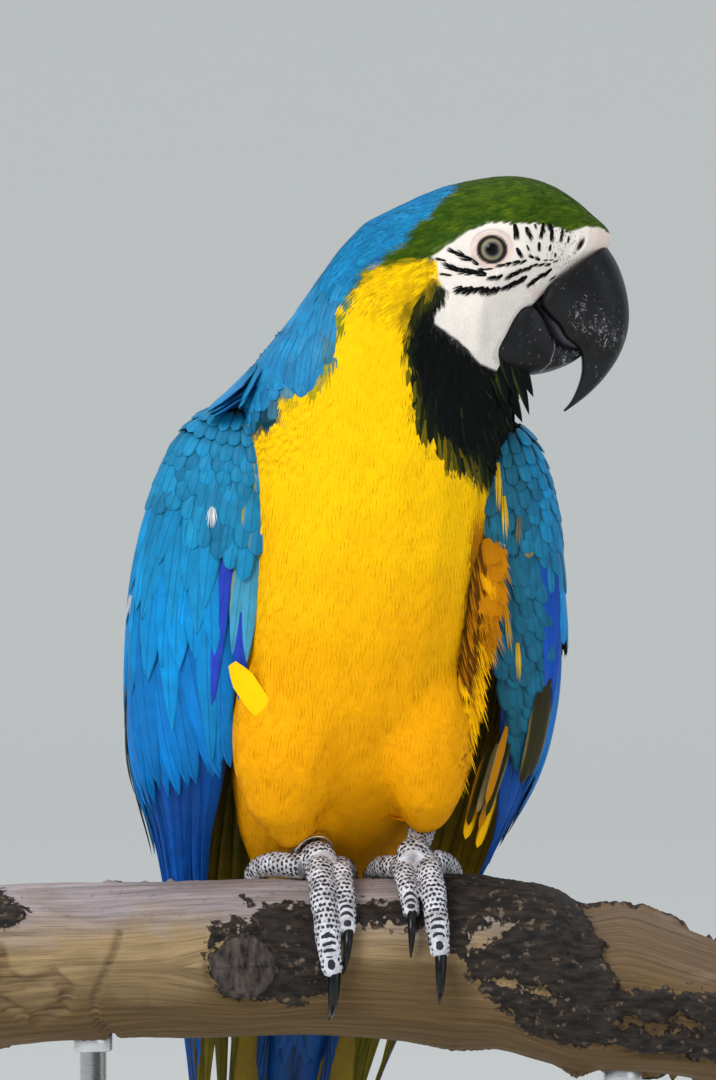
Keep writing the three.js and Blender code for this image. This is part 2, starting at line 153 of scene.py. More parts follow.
def new_mesh(name, points, faces, smooth=True):
    mesh = bpy.data.meshes.new(name)
    mesh.from_pydata(np.asarray(points, float).tolist(), [], faces)
    mesh.update()
    mesh.polygons.foreach_set("use_smooth", [smooth] * len(mesh.polygons))
    return mesh


def give(mesh, **columns):
    """Writes named attributes, each with a number, vector or colour for each vertex."""
    kinds = {1: ("FLOAT", "value"), 3: ("FLOAT_VECTOR", "vector"), 4: ("FLOAT_COLOR", "color")}
    for name, values in columns.items():
        values = np.asarray(values, np.float32)
        kind, key = kinds[1 if values.ndim == 1 else values.shape[1]]
        attribute = mesh.attributes.get(name) or mesh.attributes.new(name, kind, "POINT")
        attribute.data.foreach_set(key, values.ravel())


def moved(mesh, points):
    """Moves a mesh's vertices to places in mm and smooths its faces."""
    mesh.vertices.foreach_set("co", metres(points).ravel())
    mesh.update()
    mesh.polygons.foreach_set("use_smooth", [True] * len(mesh.polygons))


def places(mesh):
    """A mesh's vertices and their normals, the first in mm in the bird's frame."""
    count = len(mesh.vertices)
    points, normals = np.empty(count * 3), np.empty(count * 3)
    mesh.vertices.foreach_get("co", points)
    mesh.vertex_normals.foreach_get("vector", normals)
    return points.reshape(-1, 3) / MM - (0, 0, PERCH), normals.reshape(-1, 3)


def placed(name, data):
    """A new object in the scene."""
    piece = bpy.data.objects.new(name, data)
    bpy.context.scene.collection.objects.link(piece)
    return piece


def show(name, mesh, material, slot, replaces=()):
    """Puts a finished piece in the scene and ties it to the frame."""
    piece = placed(name, mesh)
    mesh.materials.clear()
    mesh.materials.append(material)
    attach(piece, "root")
    if replaces:
        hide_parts(*replaces)
    return piece


def fill(made, inputs):
    """Fills a node's inputs from values, hex colours, sockets, nodes, or a node and its output's name."""
    for key, value in inputs.items():
        if isinstance(value, bpy.types.Node):
            value = next(output for output in value.outputs if output.enabled)
        elif isinstance(value, tuple) and isinstance(value[0], bpy.types.Node):
            value = value[0].outputs[value[1]]
        elif isinstance(value, str) and value.startswith("#"):
            value = linear(value)
        elif isinstance(value, np.ndarray):
            value = tuple(value)
        if isinstance(value, bpy.types.NodeSocket):
            made.id_data.links.new(value, made.inputs[key])
        else:
            made.inputs[key].default_value = value


# Kinds of nodes that repeat, some with their settings.
MATH, VECTOR, SPLIT = "ShaderNodeMath", "ShaderNodeVectorMath", "ShaderNodeSeparateXYZ"
GATHER, RANGE, MIX = "ShaderNodeCombineXYZ", "ShaderNodeMapRange", ("ShaderNodeMix", {"data_type": "RGBA"})
TIMES, PLUS, TIMES_ADD = ((MATH, {"operation": name}) for name in ("MULTIPLY", "ADD", "MULTIPLY_ADD"))
SCALE, ADD_VECTOR = ((VECTOR, {"operation": name}) for name in ("SCALE", "ADD"))


def node(tree, kind, *values, **settings):
    """Adds a node with its settings. Values fill its open inputs in turn, or by name in a dict."""
    kind, more = kind if isinstance(kind, tuple) else (kind, {})
    made = tree.nodes.new(kind)
    for key, value in {**more, **settings}.items():
        setattr(made, key, value)
    open_inputs = [i for i, socket in enumerate(made.inputs) if socket.enabled]
    for key, value in zip(open_inputs, values):
        fill(made, value if isinstance(value, dict) else {key: value})
    return made


def baked(piece):
    """A piece's mesh with its modifiers applied. The piece is removed."""
    bpy.context.view_layer.update()
    depsgraph = bpy.context.evaluated_depsgraph_get()
    evaluated = piece.evaluated_get(depsgraph)
    mesh = bpy.data.meshes.new_from_object(evaluated, preserve_all_data_layers=True, depsgraph=depsgraph)
    bpy.data.objects.remove(piece)
    return mesh


def grid(rows, columns, closed=False, start=0):
    """Faces over rows of points. In a closed grid each row is a ring."""
    faces = []
    for i in range(rows - 1):
        for k in range(columns if closed else columns - 1):
            a = start + i * columns
            b = a + (k + 1) % columns
            faces.append((a + k, b, b + columns, a + k + columns))
    return faces


def capped(rings):
    """A closed tube's points and faces, with a fan over each end."""
    count, around = rings.shape[:2]
    points = np.concatenate([rings.reshape(-1, 3), [rings[0].mean(0)], [rings[-1].mean(0)]])
    faces = grid(count, around, True)
    first, end = count * around, (count - 1) * around
    for k in range(around):
        after = (k + 1) % around
        faces += [(first, after, k), (first + 1, end + k, end + after)]
    return points, faces


@contextmanager
def editing(mesh):
    """Opens a mesh for edits and writes it back."""
    work = bmesh.new()
    work.from_mesh(mesh)
    yield work
    work.to_mesh(mesh)
    work.free()


def outward(mesh):
    """Turns a closed mesh's faces outwards."""
    with editing(mesh) as work:
        bmesh.ops.remove_doubles(work, verts=work.verts, dist=1e-6)
        bmesh.ops.recalc_face_normals(work, faces=work.faces)
    return mesh


def solid(name, rings):
    """A closed tube of rings in mm as a mesh."""
    points, faces = capped(rings)
    return outward(new_mesh(name, metres(points), faces))


def joined(name, meshes):
    """Several meshes made one."""
    whole = bpy.data.meshes.new(name)
    with editing(whole) as work:
        for mesh in meshes:
            work.from_mesh(mesh)
            bpy.data.meshes.remove(mesh)
    return whole


def grown(mesh, voxel, rounds):
    """Closed forms in one mesh grown together into a smooth one."""
    piece = placed(mesh.name, mesh)
    remesh = piece.modifiers.new("Remesh", "REMESH")
    remesh.mode = "VOXEL"
    remesh.voxel_size = voxel
    smooth = piece.modifiers.new("Smooth", "SMOOTH")
    smooth.factor = 0.5
    smooth.iterations = rounds
    return baked(piece)


def circle(count):
    """Cosines and sines of angles evenly round a circle."""
    turn = np.linspace(0, 2 * np.pi, count, endpoint=False)
    return np.cos(turn), np.sin(turn)


# ---- markings. Outlines are x and z in mm, seen from the head's side, and hold on both sides ----
BARE_FACE = (
    (31.4, 276.6), (36.5, 279.5), (42.5, 283.2), (48.6, 288.2), (57.7, 291.8), (69.3, 291.6),
    (80.1, 291.8), (87.3, 290), (93.1, 287.8), (100.3, 290), (106.8, 288.9), (112.5, 286),
    (122, 275), (118, 238), (90, 220), (72, 222), (59.9, 226.4), (53.4, 229.6), (47.6, 236.1),
    (42.5, 241.2), (36.7, 244.8), (33.5, 247.5), (33.5, 252), (36, 257.1), (40, 260.7),
    (36.7, 263.6), (35.3, 267.9), (34.2, 274.4),
)
BEARD = (
    (44, 262), (36, 263), (29.5, 261), (25.2, 255), (22.5, 248), (22.5, 238), (26, 226),
    (31, 215), (38, 205), (47, 197), (57, 193), (68, 195), (78, 204), (84, 216), (76, 230),
    (60, 236), (48, 240), (40, 250),
)
FACING = ((200, 0), (215, 20), (240, 45), (257, 67), (275, 90))  # z, the way the throat faces
BLUE_EDGE = ((-40, 118), (40, 122), (100, 108), (165, 92), (195, 80), (210, 68), (222, 63),
             (240, 77), (257, 100), (275, 112))  # z, how far round from the throat yellow reaches
TRUNK_AXIS = (  # z, middle x, half width, middle y, half depth
    (-30, -21, 20, 64, 12), (-4, -18, 30, 56, 23), (22, -14, 43, 42, 35), (50, -9, 50, 25, 46),
    (85, -3, 54, 14, 51), (125, 3, 56, 8, 53), (165, 7, 57, 5, 52), (202, 7, 61, 4, 47),
    (224, 10, 61, 0, 43), (244, 16, 52, -4, 38), (262, 18, 41, -8, 33), (278, 22, 33, -11, 29),
    (291, 27, 26, -12, 24), (301, 34, 13, -13, 15),
)


def column(table, index, place):
    """One column of a table, read at a value of its first column."""
    table = np.asarray(table, float)
    return np.interp(place, table[:, 0], table[:, index])


def line_gap(line, x, z):
    """The distance from places to an open line."""
    gap = np.full(len(x), 1e9)
    for (ax, az), (bx, bz) in zip(line[:-1], line[1:]):
        run, rise = bx - ax, bz - az
        along = np.clip(((x - ax) * run + (z - az) * rise) / (run**2 + rise**2), 0, 1)
        gap = np.minimum(gap, np.hypot(x - ax - along * run, z - az - along * rise))
    return gap


def inside(outline, x, z):
    """How far places lie inside a closed outline, below 0 outside it."""
    closed = (*outline, outline[0])
    within = np.zeros(len(x), bool)
    for (ax, az), (bx, bz) in zip(closed[:-1], closed[1:]):
        if az != bz:
            within ^= ((az > z) != (bz > z)) & (x < ax + (z - az) * (bx - ax) / (bz - az))
    return np.where(within, 1, -1) * line_gap(closed, x, z)


def markings(points, normals, colours):
    """The plumage's colour, size, lie, depth and tracts at places on the body."""
    x, y, z = points.T
    wander = waves(points, 14, 3)

    # How far up the neck a place is, and which way round from the throat.
    up_neck = ease(215, 280, z + 0.5 * (x - 30))
    middle_x, wide, middle_y, deep = (column(TRUNK_AXIS, k, z) for k in (1, 2, 3, 4))
    around = np.arctan2((x - middle_x) / wide, -(y - middle_y) / deep) - np.radians(column(FACING, 1, z))
    around = np.degrees(np.abs((around + np.pi) % (2 * np.pi) - np.pi))
    bare = inside(BARE_FACE, x, z) + 0.8 * wander
    bare = np.where(np.abs(y - HEAD_MIDPLANE) < 9 + 0.3 * np.maximum(x - 92, 0),
                    np.where(x > 96, bare, np.minimum(bare, -3)), bare)
    beard = np.where(y > 22, -20, inside(BEARD, x, z) + 2 * wander)

    # Blue lies beyond the edge of the yellow, and on the head above the green crown.
    fray = 3.5 * waves(points, 6, 5)
    past_yellow = around - column(BLUE_EDGE, 1, z) + 4 * wander + 1.6 * fray
    blue_side = z - 279 - (x - 18.7) * 1.05 + 2.5 * wander + 0.8 * fray
    on_head = ease(274, 275.4, z + 1.5 * wander + 0.3 * fray)
    blue = blend(ease(-7, 7, past_yellow), ease(-1.5, 1.5, blue_side), on_head)
    green = (1 - blue) * np.maximum(on_head, ease(-7, -4, past_yellow) * ease(262, 268, z + fray))

    patchy = 0.5 + 0.5 * waves(points, 42, 6)
    bright = ease(60, 225, z - 0.12 * x + 50 * (patchy - 0.5))
    yellow = tint(colours["belly"], colours["throat"], bright)
    # The flank is in two tones, and a dark crease parts it from the breast.
    # The upper flank is painted a darker orange and the crease beside the breast a dark brown: both are
    # painted shade.
    front = y < 20
    flank = ease(50, 55, x + wander) * front * ease(30, 50, z) * ease(178, 165, z)
    yellow = tint(yellow, colours["flank"], flank * ease(98, 108, z + 3 * wander))
    crease = hill((x - 52.5 - 1.5 * wander - 0.0005 * (z - 100) ** 2) / 1.5)
    crease = crease * front * ease(40, 56, z) * ease(170, 150, z)
    yellow = tint(yellow, colours["crease"], 0.85 * crease)
    dusky = 0.6 * ease(0.6, 0.95, 0.5 + 0.5 * waves(points, 9, 17))
    # A trace of green shows where the yellow turns to blue.
    hue = tint(yellow, colours["crown_edge"], ease(0, 0.4, blue))
    hue = tint(hue, tint(colours["nape"], colours["nape_edge"], dusky), ease(0.35, 0.8, blue))
    mottle = ease(0.35, 0.9, 0.5 + 0.5 * waves(points, 5, 7))
    crown = tint(colours["crown"], colours["crown_edge"], 0.7 * mottle * ease(-10, 60, x))
    hue = tint(hue, crown, np.clip(green, 0, 1))
    # The gap at the right shoulder is painted dark teal: painted shade where the wing meets the mantle.
    gap = np.hypot((x + 41) / 9, (z - 205) / 9)
    gap = ease(1.15, 0.85, gap + 0.1 * fray) * (y < 10) * (past_yellow > -14)
    hue = tint(hue, colours["gap_teal"], gap)
    black = ease(-0.6, 0.8, beard)
    fringe = ease(-1, 0, (beard + fray * 0.8) / blend(7, 3.5, ease(215, 235, z)))
    hue = tint(hue, colours["beard_edge"], fringe)
    hue = tint(hue, tint(colours["beard"], colours["beard_edge"], 0.3 * ease(6, 0, beard)), black)
    rim = tint(hue * 0.94, colours["nape_edge"], 0.7 * blue * (1 - 0.6 * up_neck))
    rim = tint(rim, colours["beard_edge"], black * ease(232, 222, z))
    hue = tint(hue, colours["face"], ease(-0.4, 0.6, bare))

    # Sizes: short fine feathers on the head, longer and broader ones on the body.
    vent = ease(5, -25, z)
    back = ease(-6, 6, past_yellow) * (1 - up_neck) * (z < 250)
    near_gap = ease(30, 16, np.hypot(x + 40, z - 212)) * (y < 8)
    length = blend(17, 8.5, up_neck) + 3 * ease(150, 90, z) - 6 * ease(75, 35, z)
    length = blend(length, 20, back) * (1 - 0.55 * near_gap) + 16 * vent
    width = blend(blend(8.5, 2.8, up_neck), 10.5, back) * (1 - 0.35 * near_gap) + 4 * vent
    low_beard = ease(240, 215, z)
    length = blend(length, blend(11, 24, low_beard), fringe)
    width = blend(width, blend(3.4, 5.2, low_beard), fringe)
    clear = ease(0, 7, -bare)
    clear = clear * blend(0.12, 1, ease(10, 19, np.linalg.norm(points - RING["at"], axis=1)))
    length = length * blend(0.45, 1, clear)
    width = width * blend(0.6, 1, clear)
    depth = blend(blend(3.2, 1.2, up_neck), 2.6, fringe) * clear

    # The lie runs back over the head, down the neck and body, and under the tail.
    head_lie = xyz(-0.92, 0.1 * np.sign(y - HEAD_MIDPLANE), -0.38)
    lie = tint(xyz(0, 0.05 + 0.5 * ease(80, 0, z), -1), head_lie, up_neck)
    swing = ease(28, 62, x)
    lie = tint(lie, xyz(-0.1 + 0.95 * swing, -0.12, -1 + 0.2 * swing), fringe)
    lie = lie + 0.16 * xyz(waves(points, 26, 8), 0, 0)
    lie = unit(lie - normals * np.sum(lie * normals, 1, keepdims=True))

    # Each place goes to the first tract that takes it.
    tract = {}
    left = bare < -0.3
    for name, taken in (
        ("bib", (beard > -2) & (z < 234)), ("beard", beard > -2), ("crown", up_neck > 0.5),
        ("mantle", (past_yellow > 0) & (z > -5)), ("vent", (z < 5) & (y > 35)), ("neck", z > 200),
        ("breast", z > 130), ("belly", z > 72), ("thighs", z <= 72),
    ):
        tract[name] = left & taken
        left = left & ~taken
    return {
        "hue": hue, "rim": rim, "lie": lie, "depth": depth, "bare": bare, "tract": tract,
        "free": fringe * ease(242, 224, z) * ease(46, 62, x) * 0.9,
        "size": xyz(length, width, 0.26 * depth) * MM,
    }


# ---- skin ----
def eye_middle(side):
    return metres((EYE["x"], HEAD_MIDPLANE + side * EYE["out"], EYE["z"]))


def body_form(voxel):
    """The flesh solids, 0.7 mm larger all round, grown together into one smooth closed body."""
    parts = [bpy.data.meshes.new("part") for _ in (*FLESH, *HANDS)]
    for name, part in zip(FLESH, parts):
        with editing(part) as work:
            work.from_mesh(frame["nodes"][name].data)
            bmesh.ops.remove_doubles(work, verts=work.verts, dist=1e-6)
            work.normal_update()
            for vertex in work.verts:
                vertex.co += vertex.normal * 0.0007
    for side, part in zip(HANDS.values(), parts[len(FLESH) :]):
        with editing(part) as work:
            bmesh.ops.create_icosphere(work, subdivisions=3, radius=(EYE["radius"] - 0.6) * MM)
            bmesh.ops.translate(work, verts=work.verts, vec=eye_middle(side))
    return grown(joined("skin", parts), voxel, 12)


# ---- feather shapes: x across from -1 to 1, y along from 0 to 1, z up in half widths ----
def strands(count, reach, thin, seed):
    """A soft tuft: fine strands that part towards the tip."""
    rng = np.random.default_rng(seed)
    points, faces = [], []
    for i in range(count):
        place = (i + 0.5) / count * 2 - 1 + rng.uniform(-0.1, 0.1)
        tip = reach * (1 - 0.28 * place * place) * rng.uniform(0.82, 1.05)
        lean = place * rng.uniform(0.75, 1.2)
        start = len(points)
        for t, wide in ((0, 0.8), (0.45, 1), (0.8, 0.62), (1, 0)):
            centre = blend(0.42 * place, lean, t**0.8)
            lift = 0.08 * (1 - place * place) + 0.04 * rng.uniform(-1, 1) * t
            sides = (-thin * wide, thin * wide) if wide else (0,)
            points += [(centre + side, tip * t, lift) for side in sides]
        for corners in ((0, 1, 3, 2), (2, 3, 5, 4), (4, 5, 6)):
            faces.append([start + corner for corner in corners])
    return points, faces


def downy(barbs, seed, ragged=0.1):
    """A soft body feather: a closed low vane whose last third is loose barbs."""
    rng = np.random.default_rng(seed)
    points, faces = [], grid(3, barbs + 1)
    across = np.linspace(-1, 1, barbs + 1)
    for t, wide in ((0, 0.45), (0.3, 0.9), (0.62, 1)):
        points += [(x * wide, t * (1 - 0.14 * x * x), 0.07 * (1 - x * x)) for x in across]
    last = 2 * (barbs + 1)
    for k in range(barbs):
        x = (across[k] + across[k + 1]) / 2
        reach = (1 - 0.3 * x * x) * rng.uniform(1 - 2 * ragged, 1 + ragged)
        points.append((x * rng.uniform(0.9, 1.12), reach, rng.uniform(-0.02, 0.05)))
        faces.append((last + k, last + k + 1, len(points) - 1))
    return points, faces


def vane(columns, rows, pointed, tilt, seed, thick=0, bend=0):
    """A broad feather: a cambered vane round a raised shaft, with splits in its edge."""
    rng = np.random.default_rng(seed)
    splits = rng.uniform(0.3, 0.97, 4)
    deep = rng.uniform(0, 0.5, 4) ** 3
    sway = rng.normal(0, bend)
    taper, power, root = (0.35, 1.7, 0.85) if pointed else (0.6, 2.3, 0.55)
    points = []
    for layer in range(2 if thick else 1):
        for i in range(rows):
            t = 1 - (1 - i / (rows - 1)) ** 1.25
            base = min(1, 0.3 + t / 0.4) ** 0.8
            tip = max(0, 1 - max(0, (t - taper) / (1 - taper)) ** power) ** root
            nick = 1 - max(deep * hill((t - splits) / 0.03))
            for x in np.linspace(-1, 1, columns):
                wide = x * base * tip * (nick if abs(x) > 0.9 else 1.0)
                rise = 0.16 * (1 - x * x) * tip + tilt * wide + 0.05 * hill(x / 0.12) * (1 - t)
                rise -= layer * thick * min(1, 6 * (1 - t))
                points.append((wide + sway * t * t, t, rise))
    faces = grid(rows, columns)
    if thick:
        size = columns * rows
        faces += [face[::-1] for face in grid(rows, columns, start=size)]
        for a in range(0, size - columns, columns):
            b, c = a + columns - 1, a + columns
            faces += [(a, c, c + size, a + size), (b + columns, b, b + size, b + columns + size)]
    return points, faces


def feather_set(name, shapes, two_sided=False):
    """Feather shapes as a collection. A two-sided shape's underside is its second half."""
    group = bpy.data.collections.new(name)
    for i, (points, faces) in enumerate(shapes):
        mesh = new_mesh(f"{name}_{i}", points, faces)
        lower = np.arange(len(points)) >= len(points) / 2
        give(mesh, blade=points, under=lower * float(two_sided))
        group.objects.link(bpy.data.objects.new(f"{name}_{i}", mesh))
    return group


def clear_feathers(group):
    for shape in list(group.objects):
        mesh = shape.data
        bpy.data.objects.remove(shape)
        bpy.data.meshes.remove(mesh)
    bpy.data.collections.remove(group)


def coat_tree(scattered):
    """A tree that lays feathers over a skin, on scattered roots or on given points."""
    tree = bpy.data.node_groups.new("coat_over_skin" if scattered else "coat_on_points", "GeometryNodeTree")
    add = partial(node, tree)
    for label, kind, default in (
        ("Geometry", "Geometry", None), ("Skin", "Object", None), ("Feathers", "Collection", None),
        ("Tract", "String", "tract"), ("Spacing", "Float", 0.003), ("Ruffle", "Float", 0.15),
        ("Patch", "Float", 0.003), ("Seed", "Int", 1), ("Finish", "Material", None),
    ):
        socket = tree.interface.new_socket(label, in_out="INPUT", socket_type=f"NodeSocket{kind}")
        if default is not None:
            socket.default_value = default
    tree.interface.new_socket("Geometry", in_out="OUTPUT", socket_type="NodeSocketGeometry")
    given = add("NodeGroupInput").outputs
    store, chance = "GeometryNodeStoreNamedAttribute", "FunctionNodeRandomValue"
    read, sample = "GeometryNodeInputNamedAttribute", "GeometryNodeSampleNearestSurface"
    vectors, numbers = {"data_type": "FLOAT_VECTOR"}, {"data_type": "FLOAT"}
    names = ("coat_lie", "coat_up", "coat_run", "coat_root", "coat_size", "coat_chart", "blade")
    lie, up, run, root, size, chart, blade = (add(read, {"Name": name}, **vectors) for name in names)
    free, lift = (add(read, {"Name": name}, **numbers) for name in ("coat_free", "coat_lift"))
    place = add("GeometryNodeInputPosition")

    # Roots, each with a heading of its own.
    if scattered:
        square = add(TIMES, given["Spacing"], given["Spacing"])
        roots = add("GeometryNodeDistributePointsOnFaces", {
            "Mesh": given["Geometry"], "Distance Min": given["Spacing"],
            "Density Max": add(MATH, 3, square, operation="DIVIDE"),
            "Density Factor": add(read, {"Name": given["Tract"]}, **numbers), "Seed": given["Seed"],
        }, distribute_method="POISSON")
    else:
        roots = add("GeometryNodeMeshToPoints", {"Mesh": given["Geometry"]})
    side = add(VECTOR, lie, up, operation="CROSS_PRODUCT")
    turn = add(TIMES, add(chance, -1, 1, {"Seed": given["Seed"]}, **numbers), given["Ruffle"])
    swung = add(ADD_VECTOR, lie, add(SCALE, side, turn))
    swung = add(VECTOR, swung, operation="NORMALIZE")
    roots = add(store, roots, {"Name": "coat_run", "Value": swung}, **vectors)
    roots = add(store, roots, {"Name": "coat_root", "Value": place}, **vectors)
    shade = add(chance, 0, 1, {"Seed": 7}, **numbers)
    roots = add(store, roots, {"Name": "shade", "Value": shade}, **numbers)

    # Feathers, which keep their own coordinates in the attribute "blade".
    shapes = {"Collection": given["Feathers"], "Separate Children": True, "Reset Children": True}
    coat = add("GeometryNodeInstanceOnPoints", {
        "Points": roots, "Instance": add("GeometryNodeCollectionInfo", shapes), "Pick Instance": True,
        "Instance Index": add(chance, 0, 1000, {"Seed": 3}, data_type="INT")})
    coat = add("GeometryNodeRealizeInstances", {"Geometry": coat})

    # Each vertex goes out from its root, down onto the skin, and up by the feather's own rise.
    aside, forth, high = add(SPLIT, blade).outputs
    length, width, rise = add(SPLIT, size).outputs
    half = add(TIMES, width, 0.5)
    side = add(VECTOR, run, up, operation="CROSS_PRODUCT")
    spot = add(SCALE, run, add(TIMES, forth, length))
    spot = add(ADD_VECTOR, spot, add(SCALE, side, add(TIMES, aside, half)))
    spot = add(ADD_VECTOR, spot, root)
    skin = add("GeometryNodeObjectInfo", {"Object": given["Skin"]}).outputs["Geometry"]
    on_skin, skin_up = (
        add(sample, {"Mesh": skin, "Value": value, "Sample Position": spot}, **vectors)
        for value in (place, up)
    )
    on_skin = add(MIX, free, on_skin, spot, data_type="VECTOR")
    skin_up = add(MIX, free, skin_up, up, data_type="VECTOR")
    risen = add(TIMES, add(MATH, forth, 0.8, operation="POWER"), rise)
    risen = add(TIMES_ADD, high, half, risen)
    risen = add(PLUS, risen, lift)
    final = add(ADD_VECTOR, on_skin, add(SCALE, skin_up, risen))
    coat = add("GeometryNodeSetPosition", {"Geometry": coat, "Position": final})

    # The bake's map: each feather is a small patch at its root's place on the skin's own map.
    patch = add(ADD_VECTOR, add(GATHER, aside, forth), (0, -0.5, 0))
    patch = add(VECTOR, patch, (0.5, 1, 0), operation="MULTIPLY")
    patch = add(ADD_VECTOR, add(SCALE, patch, given["Patch"]), chart)
    coat = add(store, coat, {"Name": "OFBake", "Value": patch}, data_type="FLOAT2", domain="CORNER")
    coat = add("GeometryNodeRemoveAttribute", coat, {"Name": "coat_*"}, pattern_mode="WILDCARD")
    coat = add("GeometryNodeRealizeInstances", {"Geometry": coat})
    coat = add("GeometryNodeSetMaterial", {"Geometry": coat, "Material": given["Finish"]})
    add("NodeGroupOutput", {"Geometry": coat})
    return tree


def grow(name, base, tree, slot, skin, feathers, look, **more):
    """Runs a coat tree on a base mesh and shows the mesh it makes."""
    values = {"Skin": skin, "Feathers": feathers, "Finish": look, **more}
    values["Patch"] = bpy.context.scene.macaw_sizes.patch
    piece = placed(name, base)
    modifier = piece.modifiers.new("Coat", "NODES")
    modifier.node_group = tree
    for item in tree.interface.items_tree:
        if item.in_out == "INPUT" and item.name in values:
            modifier[item.identifier] = values[item.name]
    mesh = baked(piece)
    mesh.name = name
    return show(name, mesh, look, slot)


class Roots:
    """Feather roots in mm, each with all that the coat's tree reads."""

    def __init__(self):
        self.rows = []

    def add(self, at, lie, up, size, hue, rim=None, lining=None, lift=0, free=0, chart=None):
        rim = hue if rim is None else rim
        lining = hue if lining is None else lining
        chart = (0.5 + at[0] / 500, 0.5 + at[2] / 1000, 0) if chart is None else chart
        self.rows.append((at, lie, up, size, hue, rim, lining, lift, free, chart))

    def mesh(self, name):
        columns = (np.array(column, float) for column in zip(*self.rows))
        at, lie, up, size, hue, rim, lining, lift, free, chart = columns
        mesh = new_mesh(name, metres(at), [])
        give(mesh, coat_lie=unit(lie), coat_up=unit(up), coat_size=size * MM, coat_chart=chart,
             coat_lift=lift * MM, coat_free=free, hue=hue, rim=rim, lining=lining)
        return mesh


# ---- wings: a curved sheet on each side. Rows are z, then x and y of the front edge, of the
# outermost line and of the back edge, in mm ----
WING = {
    "right": (
        (211, -46, -2, -58, 8, -46, 26), (196, -43, -12, -77, 6, -40, 45),
        (165, -44, -16, -91, 12, -30, 64), (130, -49, -16, -98.5, 16, -27, 73),
        (90, -55, -12, -101, 22, -25, 79), (50, -62, 4, -100, 32, -27, 84),
        (10, -67, 36, -90, 50, -33, 89), (-40, -68, 50, -83, 64, -43, 94),
        (-100, -68, 66, -77, 78, -54, 98), (-165, -68, 84, -71, 91, -64, 101),
    ),
    "left": (
        (203, 62, -2, 68, 8, 56, 26), (188, 60, -10, 78, 8, 48, 45),
        (162, 58, -14, 85, 14, 38, 63), (130, 59, -12, 88, 18, 30, 72),
        (90, 63, -4, 88, 26, 24, 79), (50, 65, 12, 79, 40, 17, 85),
        (10, 50, 42, 60, 56, 8, 90), (-40, 27, 58, 36, 68, -2, 95),
        (-100, 3, 74, 10, 84, -11, 99), (-155, -7, 88, -4, 93, -15, 102),
    ),
}


def on_wing(hand, u, v):
    """Places on a wing's sheet: u from its front edge to its back, v from shoulder to tip."""
    u, v = np.broadcast_arrays(np.asarray(u, float), np.asarray(v, float))
    end, before = row_at(WING[hand], np.array([1, 0.97]))
    rows = row_at(WING[hand], v) + np.maximum(v - 1, 0)[..., None] * ((end - before) / 0.03)
    front, out, back = rows[..., 1:3], rows[..., 3:5], rows[..., 5:7]
    s = u[..., None]
    flat = (1 - s) ** 2 * front + 2 * s * (1 - s) * (2 * out - (front + back) / 2) + s * s * back
    return np.concatenate([flat, rows[..., :1]], -1)


def wing_frame(hand, u, v):
    """Directions on the sheet per unit of u and v, and the way out of it."""
    step = 0.004
    across = (on_wing(hand, u + step, v) - on_wing(hand, u - step, v)) / (2 * step)
    down = (on_wing(hand, u, v + step) - on_wing(hand, u, v - step)) / (2 * step)
    out = unit(np.cross(across, down)) * (-1 if hand == "left" else 1)
    return across, down, out


def wing_sheet(hand):
    """The sheet as a mesh, a little larger than the wing."""
    u, v = np.meshgrid(np.linspace(-0.16, 1.12, 60), np.linspace(0, 1.15, 130))
    mesh = new_mesh(f"sheet_{hand}", metres(on_wing(hand, u, v).reshape(-1, 3)), grid(*u.shape))
    give(mesh, coat_up=wing_frame(hand, u, v)[2].reshape(-1, 3))
    return bpy.data.objects.new(f"sheet_{hand}", mesh)


